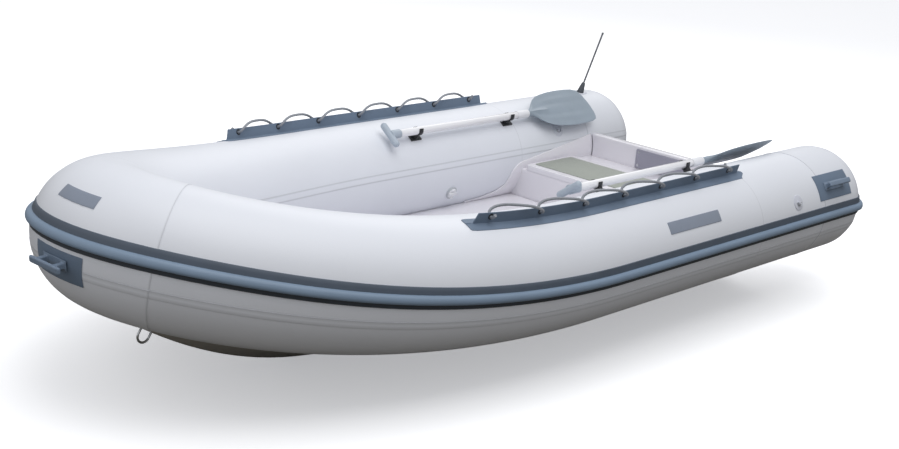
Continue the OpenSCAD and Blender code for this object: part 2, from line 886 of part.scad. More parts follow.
grommet_r = rope_d / 2 + 1.5;
grommet_hole = grommet_r + 1.6;

module grab_strip() {
    x0 = strip_ends[1];
    x1 = strip_ends[0];
    count = ceil((x1 - x0) / strip_step);
    difference() {
        loft([
            strip_row(x0 - strip_tip, strip_foot / 8, strip_foot_t + 1),
            strip_row(x0 - 2, strip_foot / 2 - 6, strip_foot_t + 2),
            for (k = [0:count]) strip_row(mix(x0, x1, k / count), strip_foot / 2, strip_h),
            strip_row(x1 + 14, strip_foot / 2, strip_foot_t + 2),
            strip_row(x1 + strip_tip, strip_foot / 2 - 4, strip_foot_t + 1),
        ]);
        for (i = [0:eyelet_count - 1]) at_eyelet(i) cylinder(h = 12, r = grommet_hole + 0.1, center = true);
    }
}

module grab_strip_port() {
    color("#6b7a8d") grab_strip();
}

module grab_strip_starboard() {
    color("#6b7a8d") to_starboard() grab_strip();
}

module grommet() {
    w = strip_wall / 2 + 0.3;
    rotate_extrude()
    polygon([
        [grommet_r, -w - 1.2], [grommet_hole + 3, -w - 0.8], [grommet_hole + 3, -w],
        [grommet_hole, -w], [grommet_hole, w], [grommet_hole + 3, w],
        [grommet_hole + 3, w + 0.8], [grommet_r, w + 1.2],
    ]);
}

module eyelets() {
    color("#3c4046")
    for (i = [0:eyelet_count - 1]) {
        at_eyelet(i) grommet();
        to_starboard() at_eyelet(i) grommet();
    }
}

// The rope from one eyelet to the next: distance aft of the eyelet, sideways from the
// upright (outboard positive) and height above the tube
rope_arch = [
    [0, 0, 27], [3, -13, 31], [11, -21, 41], [32, -21, 53], [66, -13, 61], [112, 0, 63],
    [160, 13, 61], [195, 21, 53], [216, 21, 41], [224, 13, 31],
];
rope_start = [[-4, 24, 46], [-2, 13, 31]];
rope_end = [[0, 0, 27], [3, -13, 31], [6, -24, 44]];

function rope_place(x, side, up) =
    let (
        s = station_at(x),
        out = s[1] * cos(strip_a) + s[2] * sin(strip_a),
        outboard = s[1] * sin(strip_a) - s[2] * cos(strip_a)
    )
    s[0] + (tube_r + up) * out + side * outboard;
rope_route = concat(
    [for (p = rope_start) [eyelet_x - p[0], p[1], p[2]]],
    [for (i = [0:eyelet_count - 2], p = rope_arch)
        [eyelet_x - (i + p[0] / 227) * eyelet_pitch, p[1], p[2]]],
    [for (p = rope_end) [eyelet_x - (eyelet_count - 1) * eyelet_pitch - p[0], p[1], p[2]]]
);
rope_points = [for (p = rope_route) rope_place(p[0], p[1], p[2])];

// Directions across a route that never twist: each is the last one, squared to the next step
function route_dirs(p) = [for (i = [0:len(p) - 1])
    unit(p[min(i + 1, len(p) - 1)] - p[max(i - 1, 0)])];
function squared(v, d) = unit(v - d * (v * d));
function carried(dirs, i, v) = i >= len(dirs) ? [] :
    let (w = squared(v, dirs[i])) concat([w], carried(dirs, i + 1, w));

module swept_cord(points, radii, sides) {
    dirs = route_dirs(points);
    sides_of = carried(dirs, 0, [0.1, 1, 0.2]);
    loft([for (i = [0:len(points) - 1])
        let (a = sides_of[i], b = cross(dirs[i], a))
        [for (k = [0:sides - 1])
            points[i] + radii[i] * (cos(360 * k / sides) * a + sin(360 * k / sides) * b)]]);
}

module grab_rope() {
    n = len(rope_points);
    swept_cord(rope_points, [for (i = [0:n - 1]) rope_d / 2], 8);
}

module grab_rope_port() {
    color("#8e9298") grab_rope();
}

module grab_rope_starboard() {
    color("#8e9298") to_starboard() grab_rope();
}

// ---- Oars and their clips ----

grip_x = -90;
oar_root_x = -905;
sleeve_x = [-955, -880];
clip_x = [-255, -835];

module at_oar() {
    on_tube(0, oar_a, tube_r + oar_lift) children();
}

module oar_shaft() {
    at_oar() rod(oar_root_x, grip_x - 22, oar_d / 2);
}

// A short straight grip across the shaft's end, on a socket
module oar_grip() {
    at_oar() {
        difference() {
            rod(grip_x - 52, grip_x, oar_d / 2 + 2.5);
            rod(grip_x - 53, grip_x - 22, oar_d / 2 + 0.02);
        }
        translate([grip_x, 0, -47]) cylinder(h = 94, r = 14);
        for (i = [-1, 1]) translate([grip_x, 0, i * 47]) sphere(r = 14);
    }
}

module oar_sleeve() {
    at_oar()
    difference() {
        rod(sleeve_x[0], sleeve_x[1], oar_d / 2 + 2);
        rod(oar_root_x, sleeve_x[1] + 1, oar_d / 2 + 0.02);
        rod(sleeve_x[0] - 1, oar_root_x - 0.1, 13.02);
    }
}

blade_outline = [[sleeve_x[0] - 1, 13], [-985, 17], [-1020, 44], [-1060, 74], [-1115, 92], [-1200, 100],
                 [-1310, 101], [-1375, 90], [-1397, 70]];
blade_t = 7;

module oar_blade() {
    at_oar() {
        rod(-985, oar_root_x - 1, 13);
        rotate([90, 0, 0]) linear_extrude(blade_t, center = true)
        polygon(concat(blade_outline, [for (p = reverse(blade_outline)) [p[0], -p[1]]]));
    }
}

module oar_shaft_port() {
    color("#eeeef2") oar_shaft();
}

module oar_shaft_starboard() {
    color("#eeeef2") to_starboard() oar_shaft();
}

module oar_blade_port() {
    color("#9aa6af") oar_blade();
}

module oar_blade_starboard() {
    color("#9aa6af") to_starboard() oar_blade();
}

module oar_grip_port() {
    color("#b4bec8") oar_grip();
}

module oar_grip_starboard() {
    color("#b4bec8") to_starboard() oar_grip();
}

module oar_sleeve_port() {
    color("#f0f0f4") oar_sleeve();
}

module oar_sleeve_starboard() {
    color("#f0f0f4") to_starboard() oar_sleeve();
}

clip_w = 22;
clip_t = 4;

// A U-shaped clip that opens straight up, on a base that fits the tube's side
module clip_section(x, width) {
    translate([0, tube_y, axis_z])
    along_x(x - width / 2, x + width / 2)
    rotate(oar_a) translate([tube_r + oar_lift, 0])
    difference() {
        children();
        translate([-tube_r - oar_lift, 0]) circle(r = tube_r + 0.02, $fn = 128);
    }
}

module oar_clip(x) {
    inner = oar_d / 2 + GAP;
    outer = inner + clip_t;
    mouth = inner - 4;
    arc = [for (a = [90:7.5:270]) [cos(a), sin(a)]];
    clip_section(x, clip_w) {
        rotate(90 - oar_a)
        polygon(concat(
            [[mouth, outer]], outer * arc, [[mouth, -outer], [mouth, -inner]],
            inner * reverse(arc), [[mouth, inner]]
        ));
        translate([-oar_lift - 3, -11]) square([oar_lift + 3 - inner - 0.2, 22]);
    }
    clip_section(x, 60) translate([-oar_lift - 6, -22]) square([11, 44]);
}

module oar_clips_port() {
    color("#26282c") for (x = clip_x) oar_clip(x);
}

module oar_clips_starboard() {
    color("#26282c") to_starboard() for (x = clip_x) oar_clip(x);
}

// ---- Valves ----

valve_lip = 4;
cap_h = 9;

module at_valve() {
    on_tube(valve_x, valve_a) rotate([-90, 0, 0]) children();
}

// A flanged cup let into the tube, with a threaded neck for the cap
module valve() {
    at_valve()
    difference() {
        union() {
            translate([0, 0, GAP]) cylinder(h = valve_lip, r = valve_d / 2);
            translate([0, 0, -24]) cylinder(h = 24 + GAP + 0.1, r = valve_well_r);
        }
        translate([0, 0, -21]) cylinder(h = 40, r = valve_well_r - 3);
        translate([0, 0, -30]) cylinder(h = 20, r = 7);
    }
}

module valve_port() {
    color("#c8ccd0") valve();
}

module valve_starboard() {
    color("#c8ccd0") to_starboard() valve();
}

// A round cap with a finger bar, turned to lock
module valve_cap() {
    at_valve() {
        translate([0, 0, GAP + valve_lip + GAP])
        difference() {
            cylinder(h = cap_h, r = valve_well_r + 1);
            for (i = [-1, 1])
                translate([-30, i * 12 - 7.5, 3]) cube([60, 15, cap_h]);
        }
        translate([0, 0, -6]) cylinder(h = 6 + 2 * GAP + valve_lip + 0.1, r = valve_well_r - 3 - GAP);
    }
}

module valve_cap_port() {
    color("#d8dade") valve_cap();
}

module valve_cap_starboard() {
    color("#d8dade") to_starboard() valve_cap();
}

// ---- Flagstaff ----

staff_x = -1520;
staff_a = 93;
boot_h = 50;
staff_seat = 12;

module at_staff() {
    on_tube(staff_x, staff_a) rotate([-90, 0, 0]) rotate([0, -staff_lean, 0]) children();
}

module staff_patch() {
    color("#aeb3ba") to_starboard() hugging_patch(staff_x, staff_a, [72, 50], 20);
}

module staff_boot() {
    color("#5a5f66")
    to_starboard()
    difference() {
        at_staff() cylinder(h = boot_h, r1 = 17, r2 = 8);
        at_staff() translate([0, 0, staff_seat]) cylinder(h = boot_h, r = staff_d / 2 + RUN);
        tube_rod(staff_x - 60, staff_x + 60, tube_r + patch_t + 0.02);
    }
}

module flagstaff() {
    color("#6a6e74")
    to_starboard()
    at_staff() {
        translate([0, 0, staff_seat + 0.1]) cylinder(h = staff_len - staff_seat, r = staff_d / 2);
        translate([0, 0, staff_len]) sphere(d = staff_d + 3);
    }
}

// ---- Lashing rings ----

ring_x = -1150;
ring_places = [24, 148];
ring_rod = 4;
ring_half = 12;
bar_up = 5.5;
saddle_w = 12;

module ring_mount(a) {
    hugging_patch(ring_x, a, [62, 62], 30);
    difference() {
        on_tube(ring_x, a)
        translate([-saddle_w / 2, patch_t - 0.5, -5]) cube([saddle_w, bar_up + 2.5, 10]);
        on_tube(ring_x, a) translate([0, bar_up, 0]) rod(-20, 20, ring_rod / 2 + RUN);
    }
}

module ring_patches() {
    color("#d0d4dc")
    for (a = ring_places) {
        ring_mount(a);
        to_starboard() ring_mount(a);
    }
}

// A D-shaped ring that hangs down the tube from its bar. Down is +1 where that is away
// from outboard round the tube, and -1 where it is towards outboard.
module lashing_ring(a, down) {
    on_tube(ring_x, a) translate([0, bar_up, 0]) {
        rod(-ring_half, ring_half, ring_rod / 2);
        rotate([90, 0, 0]) rotate([0, 0, down < 0 ? 180 : 0])
        rotate_extrude(angle = 180) translate([ring_half, 0]) circle(r = ring_rod / 2, $fn = 32);
        for (i = [-1, 1]) translate([i * ring_half, 0, 0]) sphere(r = ring_rod / 2, $fn = 32);
    }
}

module ring_outer_port() {
    color("#b6babf") lashing_ring(ring_places[0], -1);
}

module ring_inner_port() {
    color("#b6babf") lashing_ring(ring_places[1], 1);
}

module ring_outer_starboard() {
    color("#b6babf") to_starboard() lashing_ring(ring_places[0], -1);
}

module ring_inner_starboard() {
    color("#b6babf") to_starboard() lashing_ring(ring_places[1], 1);
}

// ---- Blank plates ----

plate_x = -425;
plate_a = 33;
plate_size = [330, 46];
bow_plate_a = [41, 52];
bow_plate_turns = [85.5, 94.5];

module name_plates() {
    color("#8b93a2") {
        hugging_patch(plate_x, plate_a, plate_size, 3);
        to_starboard() hugging_patch(plate_x, plate_a, plate_size, 3);
        bow_sheet(bow_plate_a, bow_plate_turns, patch_t / 2);
    }
}

tube_bow();
tube_port_fore();
tube_starboard_fore();
tube_port_aft();
tube_starboard_aft();
cone_port();
cone_starboard();
baffle_port();
baffle_starboard();
seam_tapes();
fender_band();
fender_ridge();
hull_shell();
deck_liner();
seat_shell();
transom_core();
motor_pad_inner();
motor_pad_outer();
pad_screws();
tow_eye();
tow_eye_plate();
tow_eye_nuts();
locker_lid();
lid_pad();
hinge_deck_leaves();
hinge_lid_leaves();
hinge_pins();
handle_patches();
bow_handle();
stern_handle_port();
stern_handle_starboard();
grab_strip_port();
grab_strip_starboard();
eyelets();
grab_rope_port();
grab_rope_starboard();
oar_shaft_port();
oar_blade_port();
oar_grip_port();
oar_sleeve_port();
oar_shaft_starboard();
oar_blade_starboard();
oar_grip_starboard();
oar_sleeve_starboard();
oar_clips_port();
oar_clips_starboard();
valve_port();
valve_starboard();
valve_cap_port();
valve_cap_starboard();
staff_patch();
staff_boot();
flagstaff();
ring_patches();
ring_outer_port();
ring_inner_port();
ring_outer_starboard();
ring_inner_starboard();
name_plates();
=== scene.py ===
"""The looks of a rigid-hulled inflatable dinghy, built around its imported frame.

Lengths are in metres, +X is towards the bow, +Y to port and +Z up.
"""

import logging
import math
from collections.abc import Callable, Sequence
from dataclasses import dataclass, field
from enum import Enum

import bpy
from mathutils import Matrix, Vector


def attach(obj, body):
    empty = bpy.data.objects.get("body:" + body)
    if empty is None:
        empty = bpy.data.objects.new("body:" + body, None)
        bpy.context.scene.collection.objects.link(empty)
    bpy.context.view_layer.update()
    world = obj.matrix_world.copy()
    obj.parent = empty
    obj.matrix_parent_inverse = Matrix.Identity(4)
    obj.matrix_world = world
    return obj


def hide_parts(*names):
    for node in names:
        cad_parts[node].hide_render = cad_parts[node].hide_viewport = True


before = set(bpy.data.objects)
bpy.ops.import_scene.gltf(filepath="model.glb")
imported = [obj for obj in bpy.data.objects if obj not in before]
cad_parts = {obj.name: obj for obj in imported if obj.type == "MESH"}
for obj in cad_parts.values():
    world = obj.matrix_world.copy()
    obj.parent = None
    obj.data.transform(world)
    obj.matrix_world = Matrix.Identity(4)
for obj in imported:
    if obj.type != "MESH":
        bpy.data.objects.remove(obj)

LOG = logging.getLogger("dinghy")
MM = 0.001
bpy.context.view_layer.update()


class Side(Enum):
    """The two sides of the boat, as the sign of Y."""

    PORT = 1
    STARBOARD = -1

    @property
    def word(self) -> str:
        """The side's name in node names."""
        return self.name.lower()


# ---- Small helpers -----------------------------------------------------------------------


def linear(hex_colour: str, alpha: float = 1.0) -> tuple[float, float, float, float]:
    """Turns an sRGB hex colour into linear values.

    Args:
        hex_colour: Six hex digits after a hash sign.
        alpha: The fourth value.

    Returns:
        Red, green, blue and alpha, linear.
    """
    parts = [int(hex_colour[i : i + 2], 16) / 255 for i in (1, 3, 5)]
    toned = [c / 12.92 if c <= 0.04045 else ((c + 0.055) / 1.055) ** 2.4 for c in parts]
    return toned[0], toned[1], toned[2], alpha


def add_node(tree: bpy.types.NodeTree, kind: str, inputs: dict | None = None, **settings) -> bpy.types.Node:
    """Adds a shader node with its settings and links.

    Args:
        tree: The material's node tree.
        kind: The node's type.
        inputs: Input name or number to a value, or to a socket that is linked.
        **settings: Attributes of the node.

    Returns:
        The new node.
    """
    made = tree.nodes.new(kind)
    for name, value in settings.items():
        setattr(made, name, value)
    for name, value in (inputs or {}).items():
        if isinstance(value, bpy.types.NodeSocket):
            tree.links.new(value, made.inputs[name])
        else:
            made.inputs[name].default_value = value
    return made


def nothing_selected() -> None:
    """Leaves edit mode and deselects every object."""
    if bpy.context.object and bpy.context.object.mode != "OBJECT":
        bpy.ops.object.mode_set(mode="OBJECT")
    bpy.ops.object.select_all(action="DESELECT")


def pick(obj: bpy.types.Object) -> None:
    """Selects one object alone and makes it active."""
    nothing_selected()
    obj.select_set(True)
    bpy.context.view_layer.objects.active = obj


def edit(obj: bpy.types.Object, *steps: Callable[[], object]) -> None:
    """Runs steps in edit mode on the whole mesh.

    Args:
        obj: The mesh object.
        *steps: Calls to make one after the other, with all of the mesh selected at first.
    """
    pick(obj)
    bpy.ops.object.mode_set(mode="EDIT")
    bpy.ops.mesh.select_all(action="SELECT")
    for step in steps:
        step()
    bpy.ops.object.mode_set(mode="OBJECT")


def apply_modifier(obj: bpy.types.Object, kind: str, **settings) -> None:
    """Adds a modifier and applies it.

    Args:
        obj: The mesh object.
        kind: The modifier's type.
        **settings: Attributes of the modifier.
    """
    pick(obj)
    modifier = obj.modifiers.new(kind.lower(), kind)
    for name, value in settings.items():
        setattr(modifier, name, value)
    bpy.ops.object.modifier_apply(modifier=modifier.name)


def smooth(obj: bpy.types.Object, degrees: float = 32) -> None:
    """Shades an object smooth, with sharp edges above an angle."""
    pick(obj)
    bpy.ops.object.shade_smooth_by_angle(angle=math.radians(degrees))


def dress(
    obj: bpy.types.Object, body: str, material: bpy.types.Material, slot: str, *nodes: str
) -> bpy.types.Object:
    """Gives a finished piece its material and its body, and hides the CAD nodes that it replaces.

    Args:
        obj: The piece.
        body: The body that it moves with.
        material: Its only material.
        slot: The record's material slot; not used.
        *nodes: The CAD nodes it replaces.

    Returns:
        The piece.
    """
    obj.data.materials.clear()
    obj.data.materials.append(material)
    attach(obj, body)
    if nodes:
        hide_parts(*nodes)
    LOG.info("%s: %d faces on %s", obj.name, len(obj.data.polygons), body)
    return obj


def copy_of(node: str, name: str) -> bpy.types.Object:
    """Copies a CAD node into a new object, with its loose triangles merged into faces.

    Args:
        node: The CAD node.
        name: The new object's name.

    Returns:
        The new object.
    """
    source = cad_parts[node]
    made = bpy.data.objects.new(name, source.data.copy())
    made.data.name = name
    bpy.context.scene.collection.objects.link(made)
    edit(
        made,
        lambda: bpy.ops.mesh.remove_doubles(threshold=0.00002),
        lambda: bpy.ops.mesh.dissolve_limited(angle_limit=math.radians(1.0)),
    )
    return made


def eased(node: str, name: str, width: float = 0.0, rounds: int = 2, limit: float = 40) -> bpy.types.Object:
    """Copies a CAD node and rounds its hard edges as a mould or a file would.

    Args:
        node: The CAD node.
        name: The new object's name.
        width: How far the rounding reaches from each edge; 0 only smooths the shading.
        rounds: Segments of the rounding.
        limit: The smallest angle of an edge that is rounded, in degrees.

    Returns:
        The new object.
    """
    made = copy_of(node, name)
    if width:
        apply_modifier(
            made,
            "BEVEL",
            width=width,
            segments=rounds,
            limit_method="ANGLE",
            angle_limit=math.radians(limit),
            use_clamp_overlap=True,
            harden_normals=False,
        )
    smooth(made, 35)
    return made


Placer = Callable[[int, int], tuple[Vector, float]]


def skin(
    name: str, rows: int, columns: int, place: Placer, ring: bool = False, caps: bool = False
) -> bpy.types.Object:
    """Models a surface from a grid, each point of which is moved to its place.

    Args:
        name: The object's name.
        rows: Points along the piece.
        columns: Points across it, or round it with the last on the first.
        place: Gives the place and the seam mark of the point at a row and a column.
        ring: Whether the last column closes on the first.
        caps: Whether the open ends are filled.

    Returns:
        The new object, with a UV map and a point attribute named seam.
    """
    nothing_selected()
    bpy.ops.mesh.primitive_grid_add(x_subdivisions=rows - 1, y_subdivisions=columns - 1, size=1)
    made = bpy.context.object
    made.name = name
    made.data.name = name
    mesh = made.data
    marks = mesh.attributes.new("seam", "FLOAT", "POINT")
    across = round(len(mesh.vertices) / rows)
    for point, mark in zip(mesh.vertices, marks.data):
        row = round((point.co.x + 0.5) * (rows - 1))
        column = round((point.co.y + 0.5) * (across - 1))
        point.co, mark.value = place(row, column)
    if ring:
        edit(made, lambda: bpy.ops.mesh.remove_doubles(threshold=0.000002))
    if caps:
        edit(made, lambda: bpy.ops.mesh.fill_holes(sides=0))
    edit(made, lambda: bpy.ops.mesh.normals_make_consistent(inside=False))
    return made


def mix(a: float, b: float, share: float) -> float:
    """A value part of the way from one number to another."""
    return a + (b - a) * share


def between(pairs: Sequence[tuple[float, float]], x: float) -> float:
    """Reads a curve given by points, with straight stretches between them.

    Args:
        pairs: Points in rising order of their first value.
        x: Where to read it.

    Returns:
        The second value there.
    """
    if x <= pairs[0][0]:
        return pairs[0][1]
    for (x0, y0), (x1, y1) in zip(pairs, pairs[1:]):
        if x <= x1:
            return mix(y0, y1, (x - x0) / (x1 - x0))
    return pairs[-1][1]


def steps(start: float, end: float, count: int) -> list[float]:
    """Evenly spaced numbers, both ends included."""
    return [mix(start, end, i / count) for i in range(count + 1)]


# ---- Finishes ----------------------------------------------------------------------------


@dataclass(frozen=True)
class Finish:
    """A surface: one colour, with a fine grain and slow changes of tone.

    Attributes:
        name: The material's name.
        colour: sRGB hex colour.
        roughness: Of the shader.
        grain_mm: Size of the surface's grain.
        grain_depth: Strength of its bump.
        metallic: 1 for bare metal.
        coat: Weight of a clear coat.
        tone: Share by which the colour varies over the piece.
        tone_mm: Size of those changes.
        seam_tone: How much darker the colour is where the seam mark is set: along a seam of the cloth, and
            as painted shade on the fender band under its ridge.
        ior: Of the shader, or None for its default.
    """

    name: str
    colour: str
    roughness: float = 0.5
    grain_mm: float = 2.0
    grain_depth: float = 0.05
    metallic: float = 0.0
    coat: float = 0.0
    tone: float = 0.04
    tone_mm: float = 300.0
    seam_tone: float = 0.0
    ior: float | None = None

    def material(self) -> bpy.types.Material:
        """Makes the material."""
        made = bpy.data.materials.new(self.name)
        made.use_nodes = True
        tree = made.node_tree
        shader = tree.nodes["Principled BSDF"]
        place = add_node(tree, "ShaderNodeTexCoord").outputs["Object"]
        self._colour(tree, shader, place)
        shader.inputs["Metallic"].default_value = self.metallic
        shader.inputs["Coat Weight"].default_value = self.coat
        shader.inputs["Coat Roughness"].default_value = 0.12
        if self.ior:
            shader.inputs["IOR"].default_value = self.ior
        self._grain(tree, shader, place)
        made.diffuse_color = linear(self.colour)
        return made

    def _colour(
        self, tree: bpy.types.NodeTree, shader: bpy.types.Node, place: bpy.types.NodeSocket
    ) -> None:
        """Links the colour and the roughness, with their slow changes."""
        scale = 1000 / self.tone_mm
        slow = add_node(tree, "ShaderNodeTexNoise", {"Vector": place, "Scale": scale, "Detail": 3.0})
        lowest = 1 - self.tone
        share = add_node(
            tree,
            "ShaderNodeMapRange",
            {
                "Value": slow.outputs["Fac"],
                "From Min": 0.3,
                "From Max": 0.7,
                "To Min": lowest,
                "To Max": 1.0,
            },
        )
        # The seam mark darkens the colour along the cloth's seams, and also paints shade on the fender band
        # below its ridge.
        seam = add_node(tree, "ShaderNodeAttribute", attribute_name="seam")
        mark = seam.outputs["Fac"]
        dark = add_node(tree, "ShaderNodeMath", {0: mark, 1: -self.seam_tone}, operation="MULTIPLY")
        level = add_node(
            tree,
            "ShaderNodeMath",
            {0: dark.outputs[0], 1: share.outputs["Result"]},
            operation="ADD",
            use_clamp=True,
        )
        toned = add_node(
            tree,
            "ShaderNodeMix",
            {0: 1.0, 6: linear(self.colour), 7: level.outputs[0]},
            data_type="RGBA",
            blend_type="MULTIPLY",
        )
        tree.links.new(toned.outputs[2], shader.inputs["Base Color"])
        rough = add_node(
            tree,
            "ShaderNodeMapRange",
            {
                "Value": slow.outputs["Fac"],
                "To Min": self.roughness - 0.05,
                "To Max": self.roughness + 0.05,
            },
        )
        tree.links.new(rough.outputs["Result"], shader.inputs["Roughness"])

    def _grain(self, tree: bpy.types.NodeTree, shader: bpy.types.Node, place: bpy.types.NodeSocket) -> None:
        """Links the bump of the surface's grain."""
        scale = 1000 / self.grain_mm
        fine = add_node(tree, "ShaderNodeTexNoise", {"Vector": place, "Scale": scale, "Detail": 2.0})
        bump = add_node(
            tree,
            "ShaderNodeBump",
            {"Height": fine.outputs["Fac"], "Strength": self.grain_depth, "Distance": self.grain_mm * MM},
        )
        tree.links.new(bump.outputs["Normal"], shader.inputs["Normal"])


@dataclass(frozen=True)
class StuddedPlastic(Finish):
    """A non-skid moulding with rows of small raised studs.

    Attributes:
        pitch_mm: Distance from one stud to the next.
    """

    pitch_mm: float = 9.0

    def _grain(self, tree: bpy.types.NodeTree, shader: bpy.types.Node, place: bpy.types.NodeSocket) -> None:
        """Links a bump of studs in diagonal rows."""
        turned = add_node(
            tree,
            "ShaderNodeMapping",
            {"Vector": place, "Rotation": (0, 0, math.radians(45)), "Scale": (1000 / self.pitch_mm,) * 3},
        )
        studs = add_node(
            tree,
            "ShaderNodeTexVoronoi",
            {"Vector": turned.outputs[0], "Scale": 1.0, "Randomness": 0.0},
            voronoi_dimensions="2D",
        )
        away = studs.outputs["Distance"]
        rise = add_node(
            tree,
            "ShaderNodeMapRange",
            {"Value": away, "From Min": 0.22, "From Max": 0.36, "To Min": 1.0, "To Max": 0.0},
        )
        bump = add_node(
            tree,
            "ShaderNodeBump",
            {"Height": rise.outputs["Result"], "Strength": 0.6, "Distance": 0.001},
        )
        tree.links.new(bump.outputs["Normal"], shader.inputs["Normal"])


@dataclass
class Finishes:
    """Every material of the boat, made once."""

    made: dict[str, bpy.types.Material] = field(default_factory=dict)

    def __post_init__(self) -> None:
        """Makes the materials."""
        for finish in (
            # Woven cloth under a calendered coat: a soft satin skin with a leathery grain.
            Finish("coated_cloth", "#E4E7EE", 0.44, 3.0, 0.05, tone=0.025, tone_mm=420, seam_tone=0.24),
            Finish(
                "coated_cloth_stern", "#E1E4EB", 0.44, 3.0, 0.05, tone=0.025, tone_mm=420, seam_tone=0.24
            ),
            Finish("raw_cloth", "#B9BCC6", 0.7, 1.5, 0.2),
            # Extruded rubber: matt; the band below the ridge is darkened almost to black as painted shade
            # under the ridge, and the worn ridge is paler.
            Finish("rubber_band", "#515C6A", 0.55, 2.0, 0.12, tone=0.10, tone_mm=90, seam_tone=0.62),
            Finish("rubber_ridge", "#7E92A8", 0.50, 2.0, 0.10, tone=0.08, tone_mm=120),
            Finish("patch_cloth", "#6C7D92", 0.60, 1.5, 0.18, tone=0.08, tone_mm=80),
            Finish("patch_pale", "#D3D6E0", 0.50, 1.5, 0.12, tone=0.04, tone_mm=60),
            # Gel coat: a glossy white skin with a faint ripple from the mould.
            Finish("gel_coat", "#EBE9EF", 0.22, 14.0, 0.03, coat=0.5, tone=0.03, tone_mm=350),
            Finish("gel_coat_hull", "#C9C5BF", 0.30, 14.0, 0.03, coat=0.4, tone=0.08, tone_mm=240),
            StuddedPlastic("non_skid", "#9FA49C", 0.62, tone=0.06, tone_mm=70),
            Finish("motor_plate", "#9C9BAA", 0.48, 1.2, 0.20, tone=0.05, tone_mm=60),
            # Polished stainless steel with a faint direction-less haze.
            Finish("stainless", "#C6C9CC", 0.20, 0.8, 0.03, metallic=1.0, tone=0.05, tone_mm=25),
            Finish("moulded_grip", "#7A8BA0", 0.46, 1.2, 0.22, tone=0.07, tone_mm=50),
            Finish("black_nylon", "#222428", 0.42, 1.0, 0.12, tone=0.15, tone_mm=20),
            Finish("rope_fibre", "#9A9EA5", 0.80, 0.8, 0.30, tone=0.18, tone_mm=7),
            Finish("white_tube", "#F1F1F4", 0.25, 5.0, 0.02, coat=0.4, tone=0.03, tone_mm=90),
            Finish("blade_plastic", "#94A1AD", 0.45, 1.6, 0.12, tone=0.07, tone_mm=60),
            Finish("grip_plastic", "#AFBAC6", 0.45, 1.2, 0.12, tone=0.06, tone_mm=30),
            Finish("white_plastic", "#ECEDF1", 0.35, 2.0, 0.03, tone=0.03, tone_mm=40),
            Finish("valve_plastic", "#C2C6CB", 0.40, 1.5, 0.06, tone=0.06, tone_mm=15),
            Finish("dark_rubber", "#4C5158", 0.62, 1.2, 0.20, tone=0.12, tone_mm=20),
            Finish("rod_grey", "#6C7076", 0.35, 1.0, 0.04, tone=0.08, tone_mm=20),
            Finish("blank_plate", "#8A93A3", 0.45, 1.0, 0.05, tone=0.05, tone_mm=40),
        ):
            self.made[finish.name] = finish.material()

    def __getitem__(self, name: str) -> bpy.types.Material:
        """The material of a name."""
        return self.made[name]


# ---- The collar's centre line ------------------------------------------------------------


@dataclass(frozen=True)
class Station:
    """A place on the collar's centre line.

    Attributes:
        centre: The point on the line.
        out: Level direction away from the boat.
        up: Upward direction, square to the line.
        ahead: Direction of the line.
        share: Share of the tube's radius that is left here.
        bow: How far round the bow it is, from 0 on the straight to 1 at the middle.
        extra: How much wider the tube's radius is here than on the straight.
    """

    centre: Vector
    out: Vector
    up: Vector
    ahead: Vector
    share: float = 1.0
    bow: float = 0.0
    extra: float = 0.0

    def at(self, out: float, up: float) -> Vector:
        """The point at a distance outwards and upwards from the centre."""
        return self.centre + self.out * out + self.up * up

    def on_ring(self, radius: float, degrees: float) -> Vector:
        """The point on a circle round the line, at an angle from outboard."""
        angle = math.radians(degrees)
        wide = radius + self.extra
        return self.at(wide * math.cos(angle), wide * math.sin(angle))

    def mirrored(self) -> "Station":
        """The same place on the other side of the boat."""
        flip = Vector((1, -1, 1))
        out, up, ahead = self.out * flip, self.up * flip, -(self.ahead * flip)
        return Station(self.centre * flip, out, up, ahead, self.share, self.bow, self.extra)


